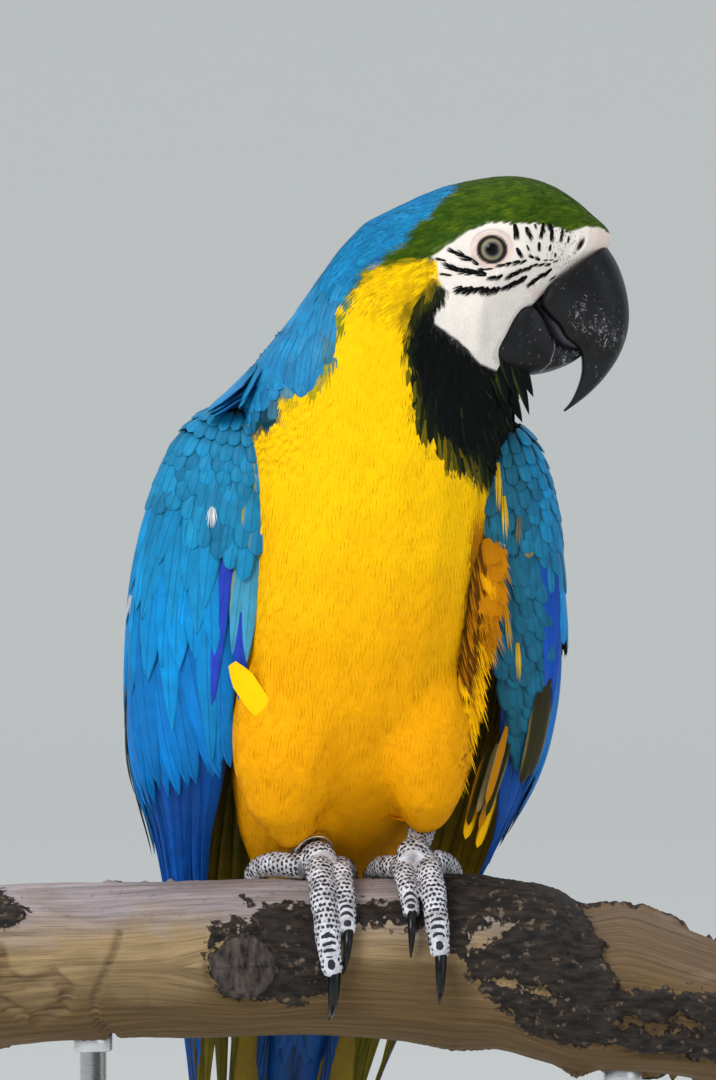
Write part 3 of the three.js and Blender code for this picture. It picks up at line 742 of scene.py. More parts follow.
# Rows of feathers: shape; the roots' height at the row's start and end; where the tips reach, as u and
# height, or None for a set length; the span in u; how many rows, and the step up between them; widths
# and lengths of the first and last row; the turn towards the front edge, as u and degrees; the tips'
# rise; the roots' height over the sheet; hue and rim.
LEVEL = ((0, 0), (1, 0))
WING_ROWS = {
    "right": (
        ("flight", (80, 62), ((0, -20), (0.12, -70), (0.5, -165), (1, -120)), (0.02, 0.95), 2, 14, (11, 12),
         None, ((0, 5), (1, 2)), 1, -2.4, "primary", "quill"),
        ("flight", (112, 108),
         ((0, 43), (0.08, 42), (0.16, 30), (0.24, 25), (0.34, 10), (0.45, 6), (1, -6)),
         (0.03, 1), 2, 10, (14.5, 14), None, ((0, 4), (0.15, 13), (0.35, 8), (0.6, 3), (1, 0)), 1.7, -1.1,
         "secondary", "secondary"),
        ("flight", (164, 160), ((0, 62), (0.2, 62)), (0.035, 0.055), 1, 0, (8, 8), None, ((0, 4), (1, 4)),
         1, 1, "violet", "primary"),
        ("flight", (150, 150), ((0, 98), (0.1, 104)), (-0.01, 0.02), 1, 0, (8.5, 8.5), None, LEVEL, 1, 1.2,
         "pale", "lead_edge"),
        ("flight", (142, 150), ((0.06, 104), (0.22, 92), (0.36, 80), (0.5, 72), (1, 74)), (0.08, 1), 2, 9,
         (14, 13), None, ((0.1, 8), (0.5, 4), (1, 0)), 1.9, 0.5, "greater", "greater"),
        ("flight", (160, 166), None, (0.09, 1), 3, 7, (12.5, 10), (48, 34), ((0, 4), (1, 0)), 1.9, 1.2,
         "median", "lesser"),
        # Teal rims on the small coverts are painted shade between the feathers.
        ("covert", (158, 172), None, (-0.01, 0.16), 3, 7, (9.8, 9), (24, 21), ((0, -3), (0.17, 6)), 1.8,
         2.1, "lesser", "teal"),
        ("scale", (176, 181), None, (-0.02, 1), 8, 3.9, (9.6, 5.8), (18, 9.5), LEVEL, 2, 1.7, "lesser",
         "teal"),
        # The last row is near-black feathers along the outermost line, with dark teal rims: painted shade
        # that darkens the wing's outline.
        ("flight", (62, 62), None, (0.47, 0.52), 6, 26, (6, 6), (58, 42), LEVEL, 0.6, 1.5, "quill",
         "gap_teal"),
    ),
    "left": (
        ("flight", (80, 62), ((0, -20), (0.5, -150), (1, -120)), (0.02, 0.95), 2, 14, (11, 12), None,
         ((0, 3), (1, 2)), 1, -2.4, "primary", "quill"),
        ("flight", (112, 108), ((0.1, 48), (0.25, 40), (0.4, 8), (1, -6)), (0.3, 1), 2, 10, (14, 14), None,
         ((0, 9), (0.4, 7), (1, 0)), 1.7, -1.1, "secondary", "secondary"),
        ("flight", (150, 150), ((0, 62), (0.3, 66), (0.6, 58)), (0.16, 0.34), 1, 0, (9, 9), None,
         ((0, 2), (1, 0)), 1, 2.4, "royal", "violet"),
        ("covert", (146, 150), ((0.2, 128), (0.4, 100), (1, 84)), (0.3, 1), 2, 9, (12, 11), None,
         ((0.1, 4), (1, 0)), 1.9, 0.9, "greater", "greater"),
        # On the left wing the coverts near the front edge are teal, which is their blue in painted shade.
        # Their darker teal rims are painted shade too.
        ("scale", (66, 66), None, (0, 0.14), 3, 7, (9, 9), (18, 18), ((0, -8), (1, -8)), 1.8, 0.8, "teal",
         "gap_teal"),
        ("scale", (86, 88), None, (0, 0.2), 10, 6.5, (9.4, 8.6), (17, 17), ((0, -5), (1, 3)), 2, 0.9,
         "teal", "gap_teal"),
        ("covert", (154, 156), None, (0.12, 1), 3, 7, (10, 9), (28, 24), LEVEL, 1.7, 1.6, "teal", "teal"),
        ("scale", (160, 168), None, (-0.01, 1), 9, 4.4, (9, 5.8), (17, 10), LEVEL, 2, 2, "teal",
         "gap_teal"),
        # The last row is near-black feathers along the outermost line: painted shade that darkens the
        # wing's outline.
        ("flight", (140, 140), None, (0.43, 0.49), 3, 22, (8, 8), (46, 40), LEVEL, 0.6, 1.3, "quill",
         "quill"),
    ),
}
# Single feathers out of line: hand, shape, u, height, lean, length, width, lift, hue and rim.
STRAYS = (
    ("left", "covert", 0.19, 90, 7, 48, 7.5, 3.2, "olive", "cream"),
    ("left", "covert", 0.14, 84, 8, 46, 7, 3.6, "olive", "cream"),
    ("left", "down", 0.01, 184, -6, 22, 4, 5, "throat", "flank_low"),
    ("left", "down", 0.04, 170, -4, 20, 4, 4.8, "throat", "flank_low"),
    ("left", "down", 0.1, 162, 6, 14, 3.5, 4.4, "cream", "flank_low"),
    ("left", "scale", 0.15, 158, 6, 15, 6, 3.2, "cream", "flank_low"),
    ("left", "down", 0.03, 122, -2, 22, 3.5, 4.4, "flank_low", "throat"),
    ("left", "down", 0.06, 106, 3, 18, 3.5, 4, "throat", "flank_low"),
    ("right", "down", 0.11, 166, 12, 10, 6, 4.4, "down", "down"),
    ("right", "down", 0.4, 126, -6, 12, 8, 2.6, "down", "down"),
    ("right", "flight", 0.11, 154, 10, 114, 12.5, 1, "greater", "secondary"),
    ("right", "flight", 0.22, 152, 10, 92, 13, 0.9, "greater", "secondary"),
    ("right", "flight", 0.32, 126, 10, 102, 13, 0.9, "secondary", "greater"),
    ("right", "flight", 0.4, 122, 8, 112, 13, 0.7, "secondary", "greater"),
)


def down_wing(hand, u, z):
    """How far down the wing a height lies."""
    heights = np.array([row[0] for row in WING[hand]], float)
    return np.interp(-np.asarray(z, float), -heights, np.linspace(0, 1, len(heights))) + 0 * u


def wing_roots(hand, colours, seed):
    """Roots of all feathers of a wing, gathered by their shape."""
    rng = np.random.default_rng(seed)
    gathered = {}

    def gather(shape, u, v, at, lie, up, size, hue, rim, lift):
        chart = (0.02 + 0.9 * np.clip(u, 0, 1), 0.02 + 0.9 * (1 - v), 0)
        gathered.setdefault(shape, Roots()).add(
            at, lie, up, size, hue, rim, colours["lining"], lift=lift, chart=chart)

    for values in WING_ROWS[hand]:
        shape, heights, tips, span, rows, step, widths, lengths, leans, rise, lift, hue, rim = values
        for i in range(rows):
            share = i / max(1, rows - 1)
            width = blend(*widths, share)
            fine = np.linspace(*span, 200)
            z = blend(*heights, np.linspace(0, 1, 200)) + i * step
            line = on_wing(hand, fine, down_wing(hand, fine, z))
            arc = arc_length(line)
            count = max(2, round(arc[-1] / (0.68 * width)))
            spots = (np.arange(count) + (0.3 if i % 2 else 0.7)) / count * arc[-1]
            z = np.interp(spots, arc, z) + rng.normal(0, 0.06 * width, count)
            u = np.interp(spots, arc, fine) + rng.normal(0, 0.004, count)
            v = down_wing(hand, u, z)
            lean = np.radians(column(leans, 1, u)) + rng.normal(0, 0.05, count)
            if lengths is None:
                length = (z - column(tips, 1, u)) / np.cos(lean) * rng.uniform(0.96, 1.04, count)
            else:
                length = blend(*lengths, share) * rng.uniform(0.88, 1.12, count)
            across, down, out = wing_frame(hand, u, v)
            at = on_wing(hand, u, v)
            lie = unit(down) * np.cos(lean)[:, None] - unit(across) * np.sin(lean)[:, None]
            # On the left wing, teal coverts near the front edge are painted shade; further out they turn to
            # the middle coverts' blue.
            paler = 0.25 + 0.25 * waves(at, 38, 61) if hand == "right" else 0.95 * ease(0.04, 0.4, u)
            for k in range(count):
                inner = blend(colours[hue], colours["median"], paler[k] if hue in ("lesser", "teal") else 0)
                tone = rng.uniform(0.8, 1.15)
                edge = colours["lead_edge" if u[k] < 0.01 and z[k] > 110 else rim]
                size = (length[k], width * rng.uniform(0.88, 1.12), rise)
                gather(shape, u[k], v[k], at[k], lie[k], out[k], size, inner * tone, edge * tone,
                       lift + 0.12 * i + rng.uniform(-0.2, 0.25))
    for side, shape, u, z, lean, length, width, lift, hue, rim in STRAYS:
        if side == hand:
            v = down_wing(hand, u, z)
            across, down, out = wing_frame(hand, u, v)
            lean = math.radians(lean)
            lie = unit(down) * math.cos(lean) - unit(across) * math.sin(lean)
            gather(shape, u, v, on_wing(hand, u, v), lie, out, (length, width, 0.8),
                   colours[hue], colours[rim], lift)
    return gathered


# ---- head: the bare face's relief, eyes and bill ----
UPPER_BILL = (  # outer x, z, inner x, z, half width
    (109.3, 281.5, 82.5, 262.5, 15.4), (114.3, 273.5, 84.3, 257, 16), (118, 263, 87.6, 252, 15.2),
    (119.6, 252, 91.6, 247, 13.8), (118.6, 242, 94.6, 241, 12), (115, 232.5, 99.4, 235.3, 9.2),
    (109, 223.5, 99.2, 227.3, 6.4), (102, 216.2, 97.2, 219.6, 4), (96, 211.4, 94.3, 213.2, 2.3),
    (91.4, 208.2, 90.8, 208.8, 0.6),
)
LOWER_BILL = (
    (64, 253, 55, 230, 12.6), (70, 256.5, 61, 227.5, 14), (77.4, 258.8, 68.5, 225, 14.8),
    (81, 254.5, 76, 224.4, 14),
    (84, 247.6, 83, 225.5, 12.6), (87.4, 239.6, 89, 227.4, 10.6), (93, 236.6, 94.6, 230, 8),
    (98.4, 235.2, 98.9, 233, 5.4),
)
TONGUE = (  # x, z, radius
    (77, 257.8, 5), (82.5, 254.4, 6.4), (87, 248.4, 6.6), (91.4, 241.8, 6.2), (96.4, 237.8, 4.4),
    (98.6, 236, 2.6),
)
PLATE_EDGE = ((79.2, 257.5), (83.4, 250), (86.2, 242.5), (86.6, 236), (84.6, 229.8), (80.4, 225.8))
# Where bare skin ends at the horn, seen from the side.
BILL_EDGE = (
    (113.4, 283.2), (110.4, 280.6), (105.4, 277.7), (98.2, 273), (90.9, 268.7), (85.9, 265.8),
    (82.3, 262), (79, 260.2), (77.9, 258.5), (74.3, 257.1), (70.7, 254.2), (67.8, 249.9), (64.2, 242.6),
    (60.6, 236.9), (59.1, 232.5), (59.9, 226), (66, 214), (130, 205), (130, 286), (115, 285),
)
NOSTRIL = {"x": 97.8, "z": 282, "long": 3.3, "wide": 1.15, "lean": 60}


def refine(mesh, wanted, cuts):
    """Splits the mesh's quads where all corners are wanted."""
    with editing(mesh) as work:
        work.verts.ensure_lookup_table()
        edges = [edge for edge in work.edges if wanted[edge.verts[0].index] and wanted[edge.verts[1].index]]
        bmesh.ops.subdivide_edges(work, edges=edges, cuts=cuts, use_grid_fill=True, smooth=0)
        bmesh.ops.triangulate(work, faces=[face for face in work.faces if len(face.verts) > 4])


def face_relief(points):
    """Lids, folds, a nostril and wrinkles: the bare skin's new places, its darkness and pinkness. The
    darkness is the lid's own dark rim, and painted shade in the nostril, the folds and the wrinkles'
    troughs.
    """
    x, y, z = points.T
    side = np.sign(y - HEAD_MIDPLANE)
    out = np.abs(y - HEAD_MIDPLANE)
    dx, dz = x - EYE["x"], z - EYE["z"]
    r = np.hypot(dx * 0.97, dz * 1.04)
    angle = np.arctan2(dz, dx)
    on_side = (out > 17) & (x > 30) & (z > 222)
    ball = EYE["out"] + np.sqrt(np.maximum(EYE["radius"] ** 2 - r**2, 0))

    # The cheek tapers towards the horn, and the skin ends just under its edge.
    horn = inside(BILL_EDGE, x, z)
    wide = blend(16.8, 17.2, ease(270, 258, z))
    taper = wide + 0.8 * np.maximum(-horn, 0)
    soft = np.minimum(out, taper) - 0.9 * np.exp(-np.abs(out - taper) / 1.8)
    taper = np.where(horn > 0, np.minimum(out, wide - 0.6 - 1.6 * horn), soft)
    out = np.where((x > 50) & (z < 287), blend(out, np.maximum(taper, 2), ease(50, 58, x)), out)

    # The lid's rim hugs the ball and rolls out into the cheek.
    rim = np.interp(r, [0, 4.9, 5.3, 5.9, 6.6, 7.6], [-2.4, -1.1, -0.1, 0.75, 0.95, 1])
    lid = blend(ball + rim, EYE["out"] + 5.5, ease(5.7, 7, r))
    out = blend(out, lid, (1 - ease(6.8, 11.5, r)) * on_side)
    rings = 0.16 * np.sin(2 * np.pi * (r - 6.3) / 1.25 + 0.6 * np.sin(3 * angle + side))
    rings *= ease(6.4, 7.2, r) * (1 - ease(9.5, 12.5, r))
    crease = 0.42 * hill((r - 9) / 0.45) * ease(-0.2, 0.6, np.sin(angle))
    crease += 0.3 * hill((r - 8.4) / 0.4) * ease(0.1, 0.8, -np.sin(angle) - 0.3 * np.cos(angle))
    out += (rings - crease) * on_side

    # Fine creases over the cheek run down from the eye, and finer ones fan from the gape.
    cheek = ease(262, 252, z) * on_side
    flow = points @ np.array([1, 0, 0.45])
    down = points @ np.array([-0.4, 0, 0.9])
    bends = 1.6 * np.sin(down / 3.1)
    wrinkles = np.sin(flow * 2 * np.pi / 2.3 + bends + 0.9 * np.sin(down / 1.3 + flow / 4))
    out += 0.05 * np.maximum(wrinkles, -0.2) * cheek
    gape = np.hypot(x - 78.7, z - 260.5)
    fan = np.sin(9 * np.arctan2(z - 260.5, x - 78.7) + 0.4 * gape)
    out += 0.22 * fan * ease(1, 2.5, gape) * (1 - ease(4, 9, gape)) * on_side

    # The cere swells before the nostril's slit.
    lean = math.radians(NOSTRIL["lean"])
    nx, nz = x - NOSTRIL["x"], z - NOSTRIL["z"]
    long = (nx * math.cos(lean) + nz * math.sin(lean)) / NOSTRIL["long"]
    wide = (-nx * math.sin(lean) + nz * math.cos(lean)) / NOSTRIL["wide"]
    slit = np.hypot(long, wide)
    hole = (1 - ease(0.5, 1.25, slit)) * (out > 5)
    out += 0.35 * hill((slit - 1.9) / 0.7) * (out > 5) - 1.9 * hole
    # The nostril's hole, the folds round the eye and the wrinkles' troughs are darkened: painted shade.
    # Next to the eye the darkness is the lid's own dark rim.
    dark = np.max([hole, ease(7, 6.3, r) * on_side, 0.3 * crease / 0.42 * on_side], 0)
    dark = np.clip(dark + 0.04 * cheek * np.clip(0.3 - wrinkles, 0, 1), 0, 1)
    pink = np.max([ease(11, 7, r) * on_side, 0.8 * ease(98, 108, x), 0.7 * hill(gape / 3.5)], 0)
    return xyz(x, HEAD_MIDPLANE + side * out, z), dark, pink


def eye_ball(side):
    """An eyeball with a low cornea, and how far each place is from its middle."""
    around = 56
    c, s = circle(around)
    rings, radii = [], []
    for bend in np.linspace(0.02, 3.1, 40):
        r = EYE["radius"] * math.sin(bend)
        bulge = 0.5 * max(0, 1 - (r / 5.4) ** 2) ** 2 if bend < 1.3 else 0
        rings.append(xyz(r * c, side * (EYE["radius"] * math.cos(bend) + bulge), r * s))
        radii += [r if bend < 1.4 else 9] * around
    ball, faces = capped(np.array(rings))
    mesh = new_mesh("eye", ball * MM + eye_middle(side), faces)
    give(mesh, ring=[*radii, 0, 9])
    return outward(mesh)


def bill_shape(table, steps, around, hollow_side, wider, palate):
    """Half of the bill, its worn edge and the inside of its mouth. The side that closes on the other half,
    -1 for the inner and 1 for the outer one, has cutting edges with a hollow between them."""
    rows = row_at(table, np.linspace(0, 1, steps))
    c, s = circle(around)
    toward = c * hollow_side
    boxy = ease(-0.2, 0.25, toward)
    power_s, power_c = blend(0.83, 0.3, boxy), blend(0.83, 0.62, boxy)
    c, s = np.sign(c) * np.abs(c) ** power_c, np.sign(s) * np.abs(s) ** power_s
    toward = c * hollow_side
    rings, wear, mouth = [], [], []
    for i, (outer_x, outer_z, inner_x, inner_z, width) in enumerate(rows):
        t = i / (steps - 1)
        middle = xyz((outer_x + inner_x) / 2, HEAD_MIDPLANE, (outer_z + inner_z) / 2)
        reach = xyz((outer_x - inner_x) / 2, 0, (outer_z - inner_z) / 2)
        width = width * blend(wider, 1, t**0.7)
        rim = ease(0.86, 0.97, np.abs(s)) + ease(0.9, 0.6, toward)
        between = (1 - np.clip(rim, 0, 1)) * (toward > 0)
        dent = -hollow_side * palate * between * min(1, 10 * t) * ease(0.75, 0.5, t)
        keel = 1 + 0.012 * hill((c + hollow_side) / 0.03) * (hollow_side < 0)
        rings.append(middle + reach * (c * keel + dent)[:, None] + xyz(0, s * width, 0))
        wear.append(hill((toward - 0.93) / 0.1) * ease(0.75, 0.95, np.abs(s)))
        mouth.append(between)
    points, faces = capped(np.array(rings))
    return points, faces, np.concatenate([*wear, (0, 0)]), np.concatenate([*mouth, (0, 0)])


# Rows of black tufts on the bare face: x and z where a row starts and ends, how far it bows up, how
# many tufts, and their length, width and heading.
FACE_ROWS = (
    (40.4, 279.2, 52.6, 273.2, 0.8, 4, 4.6, 1.5, 155), (34.2, 275.5, 38.5, 274.6, 0.2, 2, 3, 0.8, 170),
    (38.2, 272.6, 55.5, 268.9, -0.4, 6, 4.6, 1.7, 168), (36, 269.2, 41, 268.4, 0, 2, 2.8, 0.8, 172),
    (52.5, 270.4, 59.5, 271.6, 0, 2, 3.4, 1, 192), (61.3, 271.9, 74, 274.6, 0.6, 4, 4, 1.1, 200),
    (57.5, 267.2, 63, 268.2, 0, 2, 4, 1.3, 200), (65, 267.4, 76, 272.2, 0.3, 5, 4, 1.4, 206),
    (76, 272.8, 84.5, 273, 0.4, 3, 3.2, 0.9, 190), (75, 277, 80, 275.3, 0, 2, 3, 1, 150),
    (43, 262.4, 62, 262.6, -0.6, 8, 4.2, 1.9, 208), (63.5, 262.8, 74, 267.4, 0.2, 6, 4.2, 1.6, 214),
    (74.6, 264.4, 84.5, 270.6, 0.3, 6, 4, 1.5, 217), (84.5, 266.5, 86.5, 268.5, 0, 2, 2.2, 0.6, 220),
    (68.4, 290.2, 69.6, 286, 0, 2, 4.8, 1.5, 280), (69.6, 280, 71.4, 277.6, 0, 2, 3.4, 1.1, 300),
    (73.4, 289.4, 75.8, 284.6, 0, 2, 4.2, 1.4, 290), (73.6, 281.6, 74.6, 280, 0, 1, 2.4, 0.8, 300),
    (81.2, 290.6, 80, 286, 0, 3, 3.6, 1.3, 262), (79.6, 282.4, 79, 279.6, 0, 2, 2.6, 1, 280),
    (77, 290.8, 78.2, 289.4, 0, 1, 2.6, 0.7, 290), (83.6, 291.2, 85.4, 284, 0.4, 4, 3.8, 1.3, 268),
    (84.6, 281.6, 84, 280, 0, 1, 3, 0.9, 262), (89.6, 288.6, 88.8, 283.6, 0, 2, 3.4, 0.9, 262),
    (86.4, 278.4, 86.6, 276.4, 0, 1, 2.2, 0.7, 280), (92.6, 285.6, 92, 283, 0, 2, 2, 0.6, 265),
    (81.5, 275.4, 88, 274.4, 0.2, 3, 2.4, 0.5, 175),
)


def face_tufts(skin, black, seed):
    """Roots of the tufts on both cheeks and of the tiny bristles before the nostril."""
    rng = np.random.default_rng(seed)
    tree = BVHTree.FromObject(skin, bpy.context.evaluated_depsgraph_get())
    tufts = []
    for x0, z0, x1, z1, bow, count, length, width, heading in FACE_ROWS:
        for i in range(count):
            t = (i + 0.5) / count
            along = math.radians(heading + rng.normal(0, 5))
            x = blend(x0, x1, t) + rng.normal(0, 0.15)
            z = blend(z0, z1, t) + bow * math.sin(math.pi * t) + rng.normal(0, 0.15)
            size = length * rng.uniform(0.85, 1.15)
            x, z = x - 0.4 * size * math.cos(along), z - 0.4 * size * math.sin(along)
            tufts.append((x, z, along, size * 1.3, 2 * width * rng.uniform(0.85, 1.15)))
    for _ in range(120):
        x, z = rng.uniform(82, 99), rng.uniform(272, 289)
        tufts.append((x, z, math.radians(rng.uniform(190, 300)), rng.uniform(0.7, 1.5), 0.28))
    roots = Roots()
    for side in HANDS.values():
        for x, z, along, length, width in tufts:
            start = Vector(metres((x, HEAD_MIDPLANE + side * 60, z)))
            hit, normal, _, _ = tree.ray_cast(start, Vector((0, -side, 0)))
            if hit:
                normal = np.array(normal)
                lie = np.array((math.cos(along), 0, math.sin(along)))
                lie = unit(lie - normal * (lie @ normal))
                at = np.array(hit) / MM - (0, 0, PERCH)
                roots.add(at, lie, normal, (length, width, 0.35), black, lift=0.05)
    return roots.mesh("face_tufts")


# ---- legs and feet: paths with rows x, y, z and radius, in mm ----
SHANK = {
    "right": ((-28, 22, 21, 6.2), (-24.5, 15, 17, 5.8), (-20.4, 6, 11.8, 5.7), (-17.5, -4, 9.4, 7.6),
              (-16, -10, 6.6, 6.4)),
    "left": ((29.5, 22, 24, 6.2), (28, 14, 19, 5.8), (26, 5, 13.6, 5.8), (24.8, -4, 10.4, 7.8),
             (24.6, -10, 7.2, 6.6)),
}
# Each toe: x at its start and end, the angles where it and its claw end, its radius and how early it
# swings out.
TOES = {
    "right": {
        "front_outer": (-17.6, -10.4, 97, 131, 6.3, 0.75), "front_inner": (-8, -4.2, 70, 96, 4.9, 1),
        "hind_outer": (-24, -47, -70, -98, 5.4, 4.2), "hind_inner": (-13, -3.5, -60, -86, 4.5, 3.2),
    },
    "left": {
        "front_outer": (30.6, 36.4, 83, 112, 5.8, 1), "front_inner": (19.4, 23.8, 57, 83, 4.9, 1),
        "hind_outer": (29, 43, -70, -98, 5.5, 3.2), "hind_inner": (20, 6, -60, -86, 4.7, 3.2),
    },
}
FOOT_ANGLE = 8
BRANCH = (  # x, height of the axis, radius
    (-192, -41, 36.5), (-159, -39.5, 36), (-115, -37.3, 34.2), (-70, -35.8, 34.9), (-26, -34.6, 34.8),
    (10, -35.6, 35.6), (41, -37, 37.6), (63, -38.7, 37), (85, -45, 37.3), (101, -51, 34.6),
    (119, -51, 36.2), (140, -55, 33.5), (164, -61, 31.4), (192, -68, 30),
)


def branch_at(x):
    """The height of the branch's axis and its radius, at x."""
    fine = row_at(BRANCH, np.linspace(0, 1, 400))
    return np.interp(x, fine[:, 0], fine[:, 1]), np.interp(x, fine[:, 0], fine[:, 2])


def on_branch(x, degrees, above):
    """A place over the branch, at an angle from its top towards its front."""
    z, radius = branch_at(x)
    angle = np.radians(degrees)
    reach = radius + above
    return xyz(x, -reach * np.sin(angle), z + reach * np.cos(angle))


def toe_path(toe, steps=40):
    start, end, ends, _, thick, sweep = toe
    t = np.linspace(0, 1, steps)
    radius = thick * (1 - 0.27 * t * t)
    lift = radius * (1 + 0.07 * np.sin(t * math.pi)) + 0.7
    x = blend(start, end, 1 - (1 - t) ** sweep)
    return on_branch(x, blend(FOOT_ANGLE, ends, t), lift), radius


def claw_path(toe, steps=24):
    _, end, ends, claw, thick, _ = toe
    t = np.linspace(0, 1, steps)
    starts = ends - 4 * math.copysign(1, ends)
    above = thick * 0.8 + 1.2 + 2.4 * np.sin(t * math.pi) - 3.2 * t * t
    drift = -2.4 if end < 0 else -0.6
    path = on_branch(end + drift * t * t, blend(starts, claw, t), above)
    return path, thick * 0.46 * (1 - 0.9 * t**1.7) ** 0.85


def path_frames(path):
    """The heading, level side and outer side of each place on a path."""
    heading = unit(np.gradient(path, axis=0))
    level = np.tile((1, 0, 0), (len(path), 1))
    side = unit(level - heading * np.sum(level * heading, 1, keepdims=True))
    up = np.cross(side, heading)
    outward_way = (path - (0, 0, -36)) * (0, 1, 1)
    up = up * np.where(np.sum(up * outward_way, 1, keepdims=True) < 0, -1, 1)
    return heading, side, up


def limb(path, radii, around):
    """Rings of a round tube along a path."""
    _, side, up = path_frames(path)
    c, s = circle(around)
    ring = side[:, None] * c[:, None] + up[:, None] * s[:, None]
    return path[:, None] + ring * np.asarray(radii)[:, None, None]


def foot_form(hand, voxel):
    """A foot's shank and toes grown into one skin, and the paths they follow."""
    paths = []
    for toe in TOES[hand].values():
        path, radius = toe_path(toe)
        t = np.linspace(0, 1, len(path))
        pads = 3.5 if toe[4] > 5.2 else 2.5
        knuckles = 1 + 0.045 * np.cos(2 * np.pi * (t * pads + 0.45)) * ease(0.05, 0.2, t)
        tip = np.sqrt(np.clip(1 - (np.maximum(t - 0.93, 0) / 0.075) ** 2, 0.05, 1))
        paths.append((path, radius * knuckles * tip))
    rows = row_at(SHANK[hand], np.linspace(0, 1, 40))
    paths.append((rows[:, :3], rows[:, 3]))
    parts = [solid("part", limb(path, radius, 20)) for path, radius in paths]
    return grown(joined("foot", parts), voxel, 10), paths


def on_paths(points, paths):
    """For each place: the nearest path, and how far along it, round it and along it as a share."""
    best = np.full(len(points), 1e9)
    found = np.zeros((4, len(points)))
    for number, (path, radius) in enumerate(paths):
        gaps = np.linalg.norm(points[:, None] - path[None], axis=2) - radius[None]
        nearest = gaps.argmin(1)
        gap = gaps.min(1)
        arc = arc_length(path)
        offset = points - path[nearest]
        ahead, aside, above = (np.sum(offset * way[nearest], 1) for way in path_frames(path))
        run = arc[nearest] + ahead
        bend = np.arctan2(aside, above)
        here = np.stack([np.full(len(points), number), run, bend * radius.mean(), run / arc[-1]])
        found = np.where(gap < best, here, found)
        best = np.minimum(gap, best)
    return found


def scales(points, paths):
    """Height and darkness of the foot's scales: staggered beads, and broad plates near the claws."""
    number, run, around, share = on_paths(points, paths)
    toe = number < 4
    wobble = 0.35 * waves(points, 5, 8)
    pitch, girth = 2.25, 2.15
    row = np.floor((run + wobble) / pitch)
    inside_row = (run + wobble) / pitch - row
    column = (around + wobble) / girth + 0.5 * (row % 2)
    inside_column = column - np.floor(column)
    bead = np.hypot((inside_row - 0.5) / 0.5, (inside_column - 0.5) / 0.5)
    hood = np.hypot((inside_row - 0.52) / 0.42, (inside_column - 0.5) / 0.47)
    mark = 1 - ease(0.74, 1.02, hood + 0.3 * waves(points, 3.4, 15))
    height = 0.42 * (1 - ease(0.4, 1, bead))
    pick = np.sin(row * 12.9898 + np.floor(column) * 78.233) * 43758.5453
    pick = pick - np.floor(pick)
    mark = mark * (0.5 + 0.5 * pick)
    # Broad plates, 2.9 mm apart, lie over the last third of each toe's outer side.
    plate = (run + 0.9 * waves(points, 9, 12)) / 2.9
    plate = plate - np.floor(plate)
    bow = np.clip(1 - (around / 3.9) ** 2, 0, 1)
    middle = 0.3 + 0.42 * (1 - bow)
    thick = 0.05 + 0.12 * bow + 0.05 * waves(points, 4, 13)
    crescent = (1 - ease(thick, thick + 0.16, np.abs(plate - middle))) * ease(0.12, 0.4, bow)
    broad = ease(0.66, 0.74, share) * toe * ease(4.4, 3, np.abs(around))
    height = blend(height, 0.5 * (1 - plate) * bow**0.3, broad)
    mark = blend(mark, crescent * (share < 0.86), broad)
    mark = np.maximum(mark, toe * ease(1.15, 0.8, np.hypot((share - 0.905) / 0.034, around / 2.1)))
    mark = mark * np.where(toe, 1, ease(1, 0.94, share))
    sole = ease(0.66, 0.85, np.abs(around) / (np.pi * 5))
    mark = mark * (1 - 0.8 * sole)
    height = height + 0.25 * waves(points, 3.2, 14)
    return height, mark * ease(-2, 3, run + 6 * toe), sole


def ring_band():
    """The leg ring: a thin band with rounded edges round the shank."""
    along = unit(np.array(RING["along"]))
    side = unit(np.cross(along, (1, 0, 0)))
    up = np.cross(along, side)
    edge = 0.35
    inner, outer = RING["radius"] + edge, RING["radius"] + RING["wall"] - edge
    tall = RING["height"] / 2 - edge
    profile = []
    for cx, cz, start in ((outer, tall, 0), (inner, tall, 90), (inner, -tall, 180), (outer, -tall, 270)):
        for angle in np.radians(start + 22.5 * np.arange(5)):
            profile.append((cx + edge * math.cos(angle), cz + edge * math.sin(angle)))
    rings = np.array([[np.array(RING["at"]) + (side * c + up * s) * r + along * h for r, h in profile]
                      for c, s in zip(*circle(96))])
    rings = np.concatenate([rings, rings[:1]])
    return outward(new_mesh("leg_band", metres(rings.reshape(-1, 3)), grid(len(rings), len(profile), True)))


# ---- tail: a narrow stepped fan whose feathers hang behind the branch ----
TAIL = {"root": (-20, 62, -4), "lean": (-0.1, 0.155, -0.98), "length": 440, "width": 24}
TAIL_STEPS = ((1, 3), (0.86, 5.5), (0.73, 8), (0.62, 10.5), (0.53, 13), (0.47, 15.5))


def tail_frame():
    """The tail's own directions: down it, across it and out of its back."""
    lean = unit(np.array(TAIL["lean"]))
    across = unit(np.array((1, 0, 0)) - lean * lean[0])
    out = unit(np.cross(lean, across))
    return lean, across, out * np.sign(out[1])


